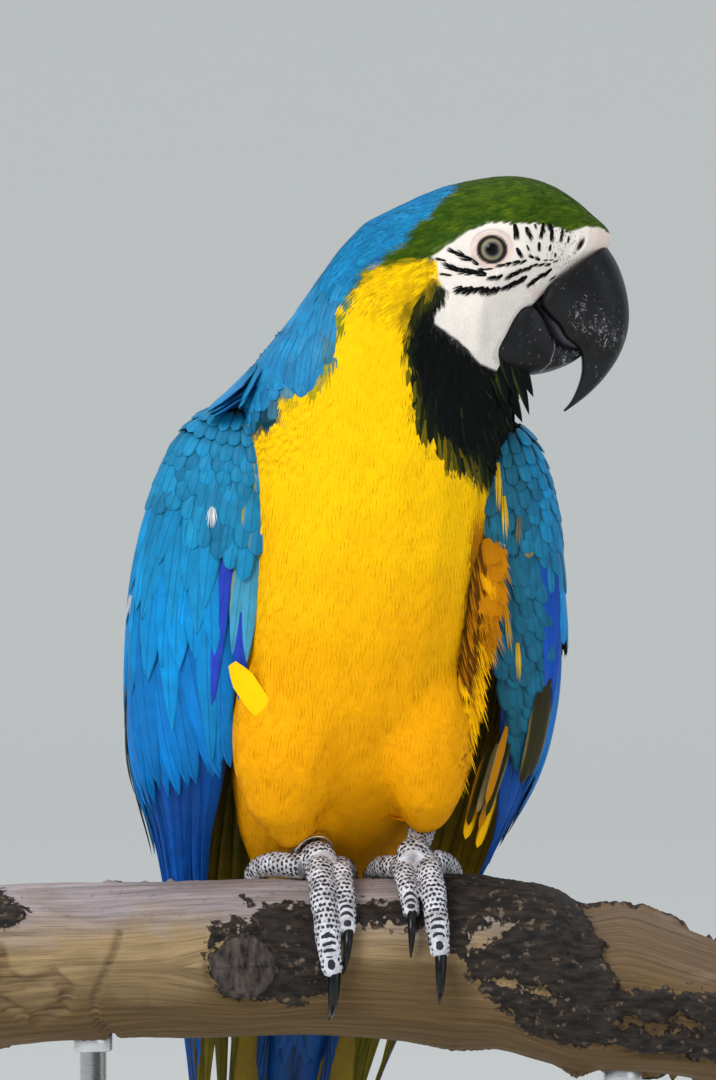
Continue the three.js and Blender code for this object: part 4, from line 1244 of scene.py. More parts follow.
def tail_roots(colours, seed):
    """Roots of the twelve tail feathers and of the coverts above and below them."""
    rng = np.random.default_rng(seed)
    lean, across, out = tail_frame()
    root = np.array(TAIL["root"], float)
    roots = Roots()
    for pair, (share, offset) in enumerate(TAIL_STEPS):
        for hand in (-1, 1):
            start = root + across * (0.75 * offset * hand) + out * (8 - 1.35 * (2 * pair + (hand > 0)))
            run = lean * TAIL["length"] * share + across * (0.5 * offset * hand)
            blue = blend(colours["tail"], colours["primary"], 0.6 * pair / 5)
            roots.add(start, run, out, (np.linalg.norm(run), TAIL["width"], 0), blue,
                      rim=colours["primary"], lining=colours["tail_lining"], free=1)
    for row in range(7):
        for place in np.linspace(-1, 1, 5 - row % 2):
            for face in (-1, 1):
                down = 8 + 15 * row + rng.normal(0, 1.5)
                wide = (19 - 1.1 * row) * place
                bend = 11.5 * math.sqrt(max(0, 1 - (0.8 * place) ** 2)) * (1 - 0.09 * row)
                at = root + lean * down + across * wide + out * (1 + face * bend)
                way = unit(out * face * (1.2 - abs(place)) + across * place * 0.9)
                run = lean + across * 0.12 * place
                run = run - way * (run @ way)
                hue = colours["undertail" if face < 0 else "nape"] * rng.uniform(0.85, 1.15)
                roots.add(at, run, way, (rng.uniform(44, 58), rng.uniform(15, 18), -0.4), hue,
                          rim=colours["tail_edge"], lift=0.5, free=1)
    return roots.mesh("tail_roots")


# ---- branch: bare wood with patches of bark. Outlines are x and z in mm, seen from the front ----
BARK = (
    ((-52, -6), (-44, -8), (-21, -9), (0, -8), (24, -8), (36, -14), (26, -20), (10, -17), (-4, -20),
     (-12, -26), (-15, -34), (-13, -46), (-26, -53), (-42, -52), (-58, -50), (-67, -40), (-63, -27),
     (-50, -20), (-46, -12)),
    ((-69, -24), (-64, -17), (-56, -14), (-49, -15), (-53, -22), (-60, -27), (-66, -29)),
    ((26, 8), (62, 9), (90, -1), (102, -17), (109, -28), (112, -37), (115, -45), (124, -46), (150, -47),
     (170, -52), (200, -60), (200, -92), (160, -79), (116, -72), (87, -69), (70, -62), (62, -53), (46, -36),
     (38, -26), (30, -14)),
    ((-200, 5), (-176, 3), (-160, -4), (-150, -9), (-146, -14), (-150, -20), (-164, -17), (-176, -21),
     (-184, -28), (-200, -26)),
)
PALE = (
    (((114, -58), (121, -56), (128, -60), (136, -59), (142, -55), (150, -61), (151, -65), (140, -63),
      (132, -66),
      (122, -62), (116, -63)), 2),
    (((8, -19), (13, -17), (19, -19), (18, -24), (9, -23)), 1.4),
    (((50, -20), (62, -15), (70, -18), (64, -22), (58, -27), (48, -29)), 2.4),
    (((55, -41), (66, -40), (84, -45), (90, -50), (78, -47), (62, -44)), 1.6),
)
KNOT = {"x": -50.6, "z": -36, "radius": 14.4}
SCARS = (  # lines where the wood is cut, and each cut's width and depth
    (((-105, -21.5), (-108, -31), (-113, -42), (-116.5, -50), (-116, -58)), 2.2, 1.6),
    (((-158, -29), (-156, -40), (-146, -44), (-134, -40), (-128, -46), (-130, -55), (-142, -60)), 4.2, 3.2),
    (((-192, -48), (-176, -46), (-160, -50), (-148, -58)), 3.4, 2.6),
    (((-115, -62), (-111, -66), (-108, -72)), 2.6, 3),
    (((104, -68), (126, -74), (160, -77), (192, -86)), 2.6, 2.2),
)


def wood_surface():
    """The branch with its relief and what each place shows."""
    along, around = 330, 176
    x = np.linspace(BRANCH[0][0], BRANCH[-1][0], along)
    angle = np.linspace(0, 2 * np.pi, around, endpoint=False)
    x, angle = (values.ravel() for values in np.meshgrid(x, angle, indexing="ij"))
    axis, radius = branch_at(x)
    calm = ease(55, 90, np.abs(x))
    # The angle runs from the back over the top to the front.
    wave = 0.03 * np.sin(3 * angle + x / 37) + 0.02 * np.sin(5 * angle - x / 21)
    size = radius * (1 + calm * wave)
    spot = xyz(x, size * np.cos(angle), axis + size * np.sin(angle))
    z, front = spot[:, 2], spot[:, 1] < 6
    ragged = waves(spot, 16, 31) * 3.2 + waves(spot, 5, 32) * 1.1
    bark = np.max([inside(outline, x, z) for outline in BARK], axis=0)
    bark = np.where(front, bark, 9 * waves(spot * (0.5, 1, 1), 46, 33) - 1)
    bark = bark + ragged
    for outline, grow in PALE:
        bare = 1.4 - inside(outline, x, z) - grow * waves(spot, 6, 42)
        bark = np.where(front, np.minimum(bark, bare), bark)
    covered = ease(-0.6, 0.8, bark)
    gap = np.hypot(x - KNOT["x"], (z - KNOT["z"]) * 1.02)
    near_knot = hill(gap / (1.6 * KNOT["radius"])) * front
    knot = ease(KNOT["radius"] + 1, KNOT["radius"] - 1, gap + 0.5 * ragged) * front

    # Grain runs along the branch and bends round the knot.
    flow = angle * 35 + 9 * near_knot * np.sign(z - KNOT["z"]) + 2.5 * waves(spot * (0.25, 1, 1), 30, 34)
    ridges = waves(xyz(x / 26, flow, 0), 3.2, 35) + 0.6 * waves(xyz(x / 14, flow, 0), 1.5, 36)
    height = 0.22 * ridges * (1 - covered)
    thick = 0.9 + 1.3 * ease(30, 70, np.abs(x + 10)) + 2.2 * ease(60, 95, x)
    rough = 0.5 * waves(spot * (0.6, 1, 1), 7, 37) + 0.35 * waves(spot, 2.6, 38)
    height += covered * (thick * ease(0, 2.4, bark) + rough)
    height += knot * (1.2 - 1.6 * ease(0.7 * KNOT["radius"], 0, gap) + 0.35 * np.sin(gap * 2.6))
    height -= 1.6 * hill((gap - KNOT["radius"] - 1.2) / 1.3) * front
    cut = np.zeros(len(x))
    for line, wide, deep in SCARS:
        groove = ease(wide, 0.35 * wide, line_gap(line, x, z) + 0.25 * ragged * (wide > 3)) * front
        cut = np.maximum(cut, groove)
        height -= deep * groove
    # Splinters hang from the underside, and the cut ends are a little rounded.
    under = ease(-0.75, -0.97, np.sin(angle))
    torn = hill((x - 97) / 7) * 5.5 + hill((x - 44) / 15) * 2.2 + hill((x + 116) / 12) * 1.6
    height += under * torn * (0.6 + 0.5 * waves(spot, 4, 39))
    height -= 1.5 * ease(189.5, 192, np.abs(x)) ** 2
    size = size + height
    spot = xyz(x, size * np.cos(angle), axis + size * np.sin(angle))
    rings = spot.reshape(along, around, 3)

    # Cut ends: rings of points towards the middle.
    faces = grid(along, around, True)
    points = [spot]
    grain = [xyz(x, flow, 0)]
    top = np.sin(angle)
    worn = np.hypot((x - 16) / 40, (z + 53) / 24)
    stain = np.maximum(ease(1.3, 0.5, worn) * front, ease(84, 104, x))
    masks = [np.stack([bark, KNOT["radius"] - gap + ragged + 30 * (front - 1), cut, top, stain], 1)]
    total = len(spot)
    for first, ring, way in ((0, rings[0], -1), (total - around, rings[-1], 1)):
        middle = ring.mean(0)
        for share in (0.92, 0.75, 0.5, 0.25, 0.06):
            points.append(blend(middle, ring, share) + (way * 0.5 * (1 - share), 0, 0))
            grain.append(xyz(middle[0], angle[:around] * 4, share * 34))
            masks.append(np.tile((-9, -30, 0, 0.1, 0.2), (around, 1)))
            for a in range(around):
                b = (a + 1) % around
                faces.append((first + a, first + b, total + b, total + a)[::way])
            first = total
            total += around
        faces.append(tuple(range(first, total))[::way])
    mesh = new_mesh("wood", metres(np.concatenate(points)), faces)
    masks = dict(zip(("bark", "knot", "cut", "top", "stain"), np.concatenate(masks).T))
    give(mesh, grain=np.concatenate(grain), **masks)
    return outward(mesh)


# ---- stand ----
CHAMFER = 3


def turned(profile, around, x=0):
    """A solid turned round an upright line, from rows of radius and height over the floor."""
    ring = xyz(*circle(around), 0)
    return solid("turned", np.array([ring * radius + (x, 0, height - PERCH) for radius, height in profile]))


# ---- settings ----
def paint(label, code):
    """A colour that a user can change, given in sRGB and held as linear values."""
    return FloatVectorProperty(name=label, description=f"Colour: {label.lower()}", subtype="COLOR", size=4,
                               min=0.0, max=1.0, default=linear(code))


def measure(label, description, value):
    return FloatProperty(name=label, description=description, default=value, min=0.0, unit="LENGTH",
                         subtype="DISTANCE")


class MACAW_PG_sizes(bpy.types.PropertyGroup):
    """Sizes of the plumage and of the skin"""

    skin_grain: measure("Skin grain", "Size of the skin's mesh cells", 0.0022)
    foot_grain: measure("Foot grain", "Size of the foot skin's mesh cells", 0.0007)
    body_spacing: measure("Body spacing", "Distance between breast feathers", 0.0027)
    head_spacing: measure("Head spacing", "Distance between crown feathers", 0.0014)
    patch: measure("Bake patch", "Size of each feather's patch on the bake's map", 0.003)
    seed: IntProperty(name="Seed", description="Changes how the feathers fall", default=4)


class MACAW_PG_plumage(bpy.types.PropertyGroup):
    """Colours of the feathers"""

    crown: paint("Crown", "#2f4d08")
    crown_edge: paint("Crown streaks", "#61750f")
    nape: paint("Nape", "#1a80b4")
    nape_edge: paint("Nape streaks", "#22519c")
    throat: paint("Throat and breast", "#f4c300")
    belly: paint("Belly", "#e99e00")
    # The upper flank's orange and the crease's brown are painted shade.
    flank: paint("Upper flank, in painted shade", "#b87400")
    flank_low: paint("Lower flank", "#f0b400")
    crease: paint("Painted shade in the crease beside the breast", "#5a3400")
    beard: paint("Beard", "#07090a")
    beard_edge: paint("Beard edge", "#2f3c0d")
    lesser: paint("Small wing coverts", "#1179a4")
    median: paint("Middle wing coverts", "#0a84bd")
    greater: paint("Large wing coverts", "#0085ca")
    secondary: paint("Secondary feathers", "#0079cb")
    primary: paint("Primary feathers", "#0a58b8")
    royal: paint("Left wing's edge", "#0a55c4")
    violet: paint("Violet strip", "#2440b8")
    pale: paint("Alula", "#3d93b8")
    # Teal: the coverts' blue in painted shade.
    teal: paint("Covert edges", "#14607a")
    # Dark teal: painted shade in the shoulder gap and on the rims of overlapping coverts.
    gap_teal: paint("Shoulder shade", "#0d3d4b")
    # Near-black: the primaries' dark rims, and painted shade in the rows along each wing's outline.
    quill: paint("Dark webs, and painted shade at the wing's outline", "#05080d")
    lead_edge: paint("Wing's front edge", "#97901f")
    olive: paint("Olive feathers", "#302c0a")
    cream: paint("Pale rims", "#85764c")
    down: paint("Down", "#dfe3e6")
    lining: paint("Wing lining", "#8a7a1c")
    tail: paint("Tail", "#0f74c0")
    tail_lining: paint("Tail's underside", "#7d6610")
    tail_edge: paint("Tail covert edges", "#12304f")
    undertail: paint("Undertail coverts", "#0d4484")
    face: paint("Bare face", "#e4dcd5")


class MACAW_PG_finishes(bpy.types.PropertyGroup):
    """Colours of horn, hide, wood and the stage"""

    blush: paint("Blush round the eye", "#dcb9ad")
    # The lid colour is also the painted shade in the nostril, the folds round the eye and the wrinkles.
    lid: paint("Lid rim, and painted shade on the face", "#17110e")
    iris: paint("Iris", "#8a8369")
    iris_light: paint("Iris near the pupil", "#3d3848")
    horn: paint("Bill horn", "#07080a")
    horn_light: paint("Bill horn, lighter clouds", "#121417")
    scuff: paint("Bill scuffs", "#a3a2a8")
    tongue: paint("Tongue", "#3d3a46")
    hide: paint("Foot hide", "#d4d5de")
    hide_dirt: paint("Foot hide, dirty", "#9a9798")
    scale: paint("Foot scales", "#1d1e29")
    claw: paint("Claws", "#040406")
    wood_top: paint("Grey wood on top", "#9b9193")
    wood: paint("Bare wood", "#98815f")
    wood_low: paint("Lower side of the wood", "#614c30")
    bark: paint("Bark", "#151211")
    bark_light: paint("Bark flecks", "#37302b")
    base: paint("Stained base", "#3a261a")
    backdrop: paint("Floor", "#e6e8e6")


def palette(group):
    """A group's colours by name, as arrays that can be blended."""
    settings = getattr(bpy.context.scene, f"macaw_{group}")
    return {name: np.array(getattr(settings, name)) for name in type(settings).__annotations__}


# ---- materials ----
ATTRIBUTE, MAPPING, NOISE = "ShaderNodeAttribute", "ShaderNodeMapping", "ShaderNodeTexNoise"
OUTPUTS = {"hue": "Color", "rim": "Color", "lining": "Color", "blade": "Vector", "grain": "Vector"}


def new_material(name, *reads):
    """A material, the way to add nodes to it, the place, and the attributes it reads."""
    material = bpy.data.materials.new(name)
    material.use_nodes = True
    add = partial(node, material.node_tree)
    place = (add("ShaderNodeTexCoord"), "Object")
    return material, add, place, *[(add(ATTRIBUTE, attribute_name=a), OUTPUTS.get(a, "Fac")) for a in reads]


def finish(material, colour, rough, gloss, relief=None, more=None):
    """Fills a material's shader. A relief is a height with its strength and its depth in mm."""
    shader = material.node_tree.nodes["Principled BSDF"]
    fill(shader, {"Base Color": colour, "Roughness": rough, "Specular IOR Level": gloss, **(more or {})})
    if relief:
        height, strength, depth = relief
        bump = {"Strength": strength, "Distance": depth * MM, "Height": height}
        fill(shader, {"Normal": node(material.node_tree, "ShaderNodeBump", bump)})
    return material


def body_feather_finish(name, streaks, shades, root):
    """Contour feather keratin: loose matt barbs with no sharp gloss. The eye sees soft streaks that
    run with each feather, and feathers that differ a little."""
    material, add, _, shade, hue, rim, blade = new_material(name, "shade", "hue", "rim", "blade")
    aside, forth, _ = add(SPLIT, blade).outputs
    reach = add(MATH, aside, operation="ABSOLUTE")
    colour = add(MIX, add(RANGE, reach, 0.45, 1), hue, rim)
    # Barbs slant from the shaft. Real ones are 0.2 mm apart; they are drawn 1 mm apart to show.
    spot = add(GATHER, add(TIMES_ADD, reach, -0.5, forth), shade, aside)
    streak = add(NOISE, add(MAPPING, spot, {"Scale": (3, 53, 4.5)}), 1, 2)
    light = add(RANGE, streak, 0.28, 0.72, *streaks)
    light = add(TIMES, light, add(RANGE, shade, 0, 1, *shades))
    # Each feather is painted darker towards its root: painted shade where the feathers over it lie.
    light = add(TIMES, light, add(RANGE, forth, 0, 0.45, root, 1))
    return finish(material, add(SCALE, colour, light), 0.7, 0.08)


def flight_feather_finish(name, rib):
    """Vane feather keratin: barbs hooked into a closed silky blade on a raised shaft. The eye sees fine
    slanting lines, a satin light along the blade and an underside in its own colour."""
    reads = ("shade", "under", "hue", "rim", "lining", "blade")
    material, add, place, shade, under, hue, rim, lining, blade = new_material(name, *reads)
    aside, forth, _ = add(SPLIT, blade).outputs
    reach = add(MATH, aside, operation="ABSOLUTE")
    colour = add(MIX, add(RANGE, reach, 0.6, 0.98), hue, rim)
    # Barbs are drawn about 1 mm apart, coarser than the real 0.3 mm, so that they show.
    spot = add(GATHER, add(TIMES_ADD, reach, -0.45, forth), shade, reach)
    lines = add(NOISE, add(MAPPING, spot, {"Scale": (rib, 53, 1.2)}), 1, 3)
    # Worn and dusty patches are 5 to 10 mm across.
    cloud = add(NOISE, place, 130, 4)
    light = add(RANGE, lines, 0.25, 0.75, 0.82, 1.14)
    light = add(TIMES, light, add(RANGE, shade, 0, 1, 0.86, 1.1))
    light = add(TIMES, light, add(RANGE, cloud, 0.3, 0.7, 0.86, 1.12))
    # Each vane is painted darker towards its root: painted shade where the feathers over it overlap.
    light = add(TIMES, light, add(RANGE, forth, 0, 0.55, 0.66, 1))
    light = add(TIMES, light, add(RANGE, reach, 0.02, 0.08, 0.66, 1))
    colour = add(SCALE, add(MIX, under, colour, lining), light)
    return finish(material, colour, add(RANGE, cloud, 0.3, 0.7, 0.4, 0.58), 0.16, (lines, 0.4, 0.4))


def skin_finish():
    """Bare facial skin: soft, matt and finely wrinkled. It has the coat's colours where feathers grow,
    so nothing shows between them."""
    material, add, place, hue = new_material("bare_skin", "hue")
    fine = add(NOISE, place, 700, 3)
    dusty = add(RANGE, add(NOISE, place, 160, 4), 0.3, 0.7, 0.94, 1.03)
    light = add(TIMES, add(RANGE, fine, 0.3, 0.7, 0.93, 1.03), dusty)
    colour = add(SCALE, hue, light)
    return finish(material, colour, 0.6, 0.25, (fine, 0.4, 0.3), {"Subsurface Weight": 0.05})


def eye_finish(colours):
    """A living eye under a clear wet cornea: an olive-grey iris with fine spokes, a black pupil and
    a dark rim, so the eye sees depth and one sharp glint."""
    material, add, place, ring = new_material("cornea_over_iris", "ring")
    # Spokes need the angle round the eye, which the place across it gives.
    middle = (-EYE["x"] * MM, 0, -(EYE["z"] + PERCH) * MM)
    aside, _, up = add(SPLIT, add(ADD_VECTOR, place, middle)).outputs
    spokes = add(GATHER, add(MATH, up, aside, operation="ARCTAN2"), ring, 0)
    spokes = add(NOISE, add(MAPPING, spokes, {"Scale": (11, 0.8, 1)}), 1, 2)
    light = add(RANGE, spokes, 0.3, 0.7)
    colour = add(MIX, light, 0.75 * colours["iris"], colours["iris"])
    for start, end, share, other in (
        (2.9, 3.8, (0.9, 0), colours["iris_light"]),
        (4.3, 4.9, (), "#3f3c30"),
        (2.3, 2.9, (1.0, 0.0), "#010102"),
        (4.9, 5.3, (), colours["lid"]),
    ):
        colour = add(MIX, add(RANGE, ring, start, end, *share), colour, other)
    return finish(material, colour, 0.5, 0, None, {"Coat Weight": 0.3, "Coat Roughness": 0.02})


def bill_finish(colours):
    """Bill keratin: charcoal horn worn to a satin, with chalky scuffs and flaking where it rubs. The
    eye sees a broad soft highlight broken by scratches."""
    reads = ("wear", "worn_edge", "mouth")
    material, add, place, wear, edge, mouth = new_material("bill_keratin", *reads)
    clouds = add(NOISE, place, 60, 4)
    scratch = add(NOISE, add(MAPPING, place, {"Scale": (1, 1, 0.22)}), 420, 4)
    patches = add(NOISE, place, 330, 7, {"Distortion": 2.6})
    flaked = add(RANGE, add(TIMES_ADD, wear, 0.14, patches), 0.63, 0.78, 0, 0.75)
    flaked = add(TIMES, flaked, add(RANGE, scratch, 0.42, 0.6))
    chipped = add(RANGE, add(TIMES_ADD, patches, 0.9, edge), 1.25, 1.55, 0, 0.7)
    colour = add(MIX, add(RANGE, clouds, 0.35, 0.68), colours["horn"], colours["horn_light"])
    colour = add(MIX, flaked, colour, colours["scuff"])
    colour = add(MIX, chipped, colour, 0.8 * colours["scuff"])
    # Inside the hollow between the cutting edges the horn is painted a flat near-black: the horn's own
    # black, and painted shade in the hollow.
    colour = add(MIX, mouth, colour, "#0c0c0e")
    rough = add(TIMES_ADD, flaked, 0.3, add(RANGE, scratch, 0.2, 0.8, 0.32, 0.48))
    return finish(material, colour, rough, 0.22, (scratch, 0.3, 0.3))


def grained_finish(name, stretch, noise, share, colours, rough, gloss, bump, more=None):
    """A material whose grain, stretched along the piece, sets its colour, roughness and relief."""
    material, add, place = new_material(name)
    grain = add(NOISE, add(MAPPING, place, {"Scale": stretch}), *noise)
    colour = add(MIX, add(RANGE, grain, *share), *colours)
    return finish(material, colour, add(RANGE, grain, 0.3, 0.7, *rough), gloss, (grain, *bump), more)


def foot_finish(colours):
    """Foot hide: whitish dry skin folded between horny dark scales, with broad patches of dirt. The eye
    sees rows of dark beads, and broad dark plates before each claw."""
    material, add, place, mark, sole = new_material("scaled_hide", "mark", "sole")
    fine = add(NOISE, place, 1100, 3)
    dusty = add(RANGE, add(NOISE, place, 150, 4), 0.4, 0.68)
    base = add(MIX, dusty, colours["hide"], colours["hide_dirt"])
    base = add(MIX, add(TIMES, sole, 0.6), base, "#d2cab2")
    torn = add(RANGE, add(TIMES_ADD, fine, 0.5, mark), 0.62, 0.82)
    colour = add(MIX, torn, base, colours["scale"])
    colour = add(SCALE, colour, add(RANGE, fine, 0.3, 0.7, 0.84, 1.08))
    return finish(material, colour, 0.6, 0.35, (fine, 0.6, 0.4))


def wood_finish(colours):
    """Weathered hardwood: sapwood grey on top, tan at the sides and brown underneath, with dark fibrous
    bark left in patches. The eye sees long grain lines, scars darkened with painted shade, a round knot and
    rough dark bark."""
    reads = ("grain", "top", "cut", "bark", "knot", "stain")
    material, add, place, grain, top, cut, bark, knot, stained = new_material("weathered_wood", *reads)
    # Growth lines are 2 mm apart and 60 mm long; fine checks are 0.6 mm apart.
    lines = add(MAPPING, grain, {"Scale": (0.018, 0.5, 0.5)})
    lines = add(NOISE, lines, 1, 6, {"Distortion": 0.4})
    checks = add(NOISE, add(MAPPING, grain, {"Scale": (0.035, 1.8, 1.8)}), 1, 4)
    blotch = add(NOISE, place, 45, 5)
    crumbs = add(NOISE, place, 260, 5)
    along = add(MAPPING, place, {"Scale": (0.3, 1, 1)})
    fibre = add(NOISE, along, 420, 5)
    # Tan wood that turns brown below and grey above.
    share = add(RANGE, lines, 0.34, 0.66)
    bare, brown, grey = (
        add(MIX, share, dark * colours[name], light * colours[name])
        for name, dark, light in (("wood", 0.72, 1.12), ("wood_low", 0.7, 1.2), ("wood_top", 0.66, 1.1))
    )
    low = add(RANGE, add(TIMES_ADD, blotch, -0.9, top), -0.2, -1.0)
    high = add(RANGE, add(TIMES_ADD, blotch, 0.9, top), 0.7, 1.25)
    bare = add(MIX, low, bare, brown)
    bare = add(MIX, high, bare, grey)
    bare = add(MIX, add(RANGE, checks, 0.56, 0.7, 0.0, 0.6), bare, "#4a3a2a")
    specks = add(TIMES, add(RANGE, crumbs, 0.6, 0.68, 0, 0.55), high)
    bare = add(MIX, specks, bare, "#6d6062")
    # Brown stains and old bark fibres darken parts of the bare wood, and the cut grooves are painted a
    # darker brown: painted shade in the grooves.
    stain = add(TIMES_ADD, stained, 0.55, add(NOISE, along, 90, 5))
    bare = add(MIX, add(RANGE, stain, 0.52, 0.95, 0, 0.9), bare, brown)
    hollow = add(MIX, share, "#4a3928", "#8e7656")
    bare = add(MIX, add(TIMES, cut, 0.75), bare, hollow)
    # Bark has a torn edge: its distance field is cut off after noise is added.
    torn = add(PLUS, bark, add(RANGE, crumbs, 0.3, 0.7, -3.4, 3))
    torn = add(RANGE, torn, -0.4, 0.5)
    crust = add(MIX, add(RANGE, fibre, 0.38, 0.68), colours["bark"], colours["bark_light"])
    crust = add(MIX, add(RANGE, crumbs, 0.6, 0.7, 0.0, 0.65), crust, "#7d6a58")
    upright = add(NOISE, add(MAPPING, place, {"Scale": (1, 1, 0.3)}), 380, 4)
    heart = add(MIX, add(RANGE, upright, 0.35, 0.7), "#1d1918", "#564d49")
    colour = add(MIX, torn, bare, crust)
    colour = add(MIX, add(RANGE, knot, -0.3, 0.9), colour, heart)
    relief = add(TIMES_ADD, torn, 0.5, add(PLUS, checks, fibre))
    return finish(material, colour, add(RANGE, fibre, 0.3, 0.7, 0.66, 0.9), 0.2, (relief, 0.7, 0.9))


def base_finish(colours):
    """Stained beech: a turned disc under dark satin lacquer, with short flecks along straight grain."""
    material, add, place = new_material("stained_beech")
    boards = add(NOISE, add(MAPPING, place, {"Scale": (0.08, 1, 1)}), 60, 4)
    flecks = add(NOISE, add(MAPPING, place, {"Scale": (0.16, 1, 1)}), 900, 2)
    share = add(RANGE, boards, 0.35, 0.65)
    colour = add(MIX, share, 0.55 * colours["base"], 1.3 * colours["base"])
    colour = add(MIX, add(RANGE, flecks, 0.6, 0.75, 0.0, 0.5), colour, "#150e0a")
    rough = add(RANGE, flecks, 0.3, 0.7, 0.34, 0.48)
    lacquer = {"Coat Weight": 0.35, "Coat Roughness": 0.25}
    return finish(material, colour, rough, 0.5, (flecks, 0.25, 0.2), lacquer)


def backdrop_finish(colours):
    """Matt seamless paper with a faint pulp grain, so the floor stays plain and pale."""
    material, add, place = new_material("seamless_paper")
    light = add(RANGE, add(NOISE, place, 400, 2), 0.3, 0.7, 0.985, 1.01)
    return finish(material, add(SCALE, colours["backdrop"][:3], light), 0.9, 0.1)


# ---- operators ----
class MACAW_OT_skin(bpy.types.Operator):
    """One skin over the whole feathered body, inside it by the coat's depth"""

    bl_idname = "macaw.skin"
    bl_label = "Skin"

    def execute(self, context):
        colours = palette("plumage")
        extra = palette("finishes")
        mesh = body_form(context.scene.macaw_sizes.skin_grain)
        points, normals = places(mesh)
        refine(mesh, markings(points, normals, colours)["bare"] > -2.5, 2)
        points, normals = places(mesh)
        marks = markings(points, normals, colours)
        inner = points - normals * marks["depth"][:, None]
        relief, dark, pink = face_relief(inner)
        share = ease(-0.5, 0.8, marks["bare"])
        pale = tint(marks["hue"], extra["blush"], 0.6 * pink * share)
        # The lid's colour paints the dark lid rim, and painted shade in the nostril, folds and wrinkles.
        hue = tint(pale, extra["lid"], dark * share)
        moved(mesh, tint(inner, relief, share))
        give(mesh, hue=hue, rim=marks["rim"], coat_lie=marks["lie"], coat_up=places(mesh)[1],
             coat_size=marks["size"], coat_free=marks["free"])
        give(mesh, **{f"tract_{name}": members for name, members in marks["tract"].items()})
        piece = show("skin", mesh, skin_finish(), "bare_face_skin", FLESH)
        context.view_layer.objects.active = piece
        piece.select_set(True)
        bpy.ops.object.mode_set(mode="EDIT")
        bpy.ops.mesh.select_all(action="SELECT")
        bpy.ops.uv.smart_project(angle_limit=math.radians(70), island_margin=0.004)
        bpy.ops.object.mode_set(mode="OBJECT")
        piece.select_set(False)
        mesh.uv_layers[0].name = "coat_chart"
        return {"FINISHED"}


class MACAW_OT_eyes(bpy.types.Operator):
    """Both eyeballs, set behind their lids"""

    bl_idname = "macaw.eyes"
    bl_label = "Eyes"

    def execute(self, context):
        wet = eye_finish(palette("finishes"))
        for hand, side in HANDS.items():
            show(f"eyeball_{hand}", eye_ball(side), wet, "eye_iris", (f"eye_{hand}",))
        return {"FINISHED"}


class MACAW_OT_bill(bpy.types.Operator):
    """The upper bill, the lower bill and the tongue between them"""

    bl_idname = "macaw.bill"
    bl_label = "Bill and tongue"

    def execute(self, context):
        colours = palette("finishes")
        horn = bill_finish(colours)
        halves = (("upper", UPPER_BILL, -1, -0.26), ("lower", LOWER_BILL, 1, 0.16))
        for name, table, hollow_side, palate in halves:
            points, faces, edge, mouth = bill_shape(table, 100, 104, hollow_side, 1.12, palate)
            mesh = new_mesh(f"beak_{name}", metres(points), faces)
            x, _, z = points.T
            wear = hill((z - 246 + 0.5 * (x - 104)) / 8) * ease(90, 98, x)
            if name == "lower":
                edge = np.maximum(edge, hill(line_gap(PLATE_EDGE, x, z) / 0.9))
                wear = 0.8 * ease(84, 92, x)
            give(mesh, worn_edge=edge, wear=wear, mouth=mouth)
            show(f"beak_{name}", outward(mesh), horn, "bill_horn", (f"bill_{name}",))
        rows = row_at(TONGUE, np.linspace(0, 1, 40))
        path = xyz(rows[:, 0], HEAD_MIDPLANE, rows[:, 1])
        mesh = solid("tongue_flesh", limb(path, rows[:, 2], 40))
        # Tongue flesh is moist muscle, lilac-grey and finely pebbled.
        tones = (0.6 * colours["tongue"], colours["tongue"])
        flesh = grained_finish("tongue_flesh", (1, 1, 1), (900, 2), (0.3, 0.7), tones, (0.38, 0.38), 0.5,
                               (0.5, 0.3), {"Subsurface Weight": 0.1})
        show("tongue_flesh", mesh, flesh, "tongue_skin", ("tongue",))
        return {"FINISHED"}


# Tract, part, spacing as a share of the part's, ruffle, feather set, finish, record slot.
COAT_PIECES = (
    ("crown", "head", 1, 0.2, "fine", "hair", "plumage_green"),
    ("beard", "head", 1.2, 0.25, "fine", "hair", "plumage_black"),
    ("bib", "head", 1.5, 0.22, "lance", "hair", "plumage_black"),
    ("neck", "body", 0.8, 0.18, "downy", "soft", "plumage_yellow"),
    ("breast", "body", 1, 0.16, "downy", "soft", "plumage_yellow"),
    ("belly", "body", 1, 0.18, "downy", "soft", "plumage_yellow"),
    ("thighs", "body", 1, 0.4, "downy", "soft", "plumage_yellow"),
    ("mantle", "body", 1.5, 0.16, "leaf", "blue", "plumage_blue"),
    ("vent", "body", 2.2, 0.12, "leaf", "soft", "plumage_yellow"),
)
# Body feathers out of line: root, lie, length, width, rise, lift, hue, rim and, for some, the way up.
LOOSE = [
    ((-55, -18.5, 97), (0.5, -0.3, -0.8), 30, 11, 1.2, 1.8, "throat", "throat"),
    ((-53, -17.5, 94), (0.42, -0.28, -0.84), 25, 9, 0.8, 1.2, "flank_low", "throat"),
    # Feathers here in the upper flank's darker orange carry its painted shade.
    ((66, 2, 68), (-0.3, 0, -0.95), 36, 4, 1, 1, "flank", "cream"),
    ((67, 4, 60), (-0.36, 0, -0.93), 34, 4, 1.2, 1, "olive", "cream"),
    ((62, 4, 60), (-0.34, 0, -0.94), 32, 4, 0.9, 1, "cream", "olive"),
    ((64, 8, 50), (-0.4, 0, -0.9), 30, 4, 1.2, 1, "flank", "cream"),
    ((58, 6, 58), (-0.32, 0, -0.95), 36, 5, 1.2, 1, "olive", "flank"),
    ((56, 8, 50), (-0.3, 0, -0.95), 34, 6, 1.2, 1, "flank_low", "flank"),
    ((61, 8, 40), (-0.35, 0, -0.95), 28, 5, 1.2, 1, "flank_low", "olive"),
]


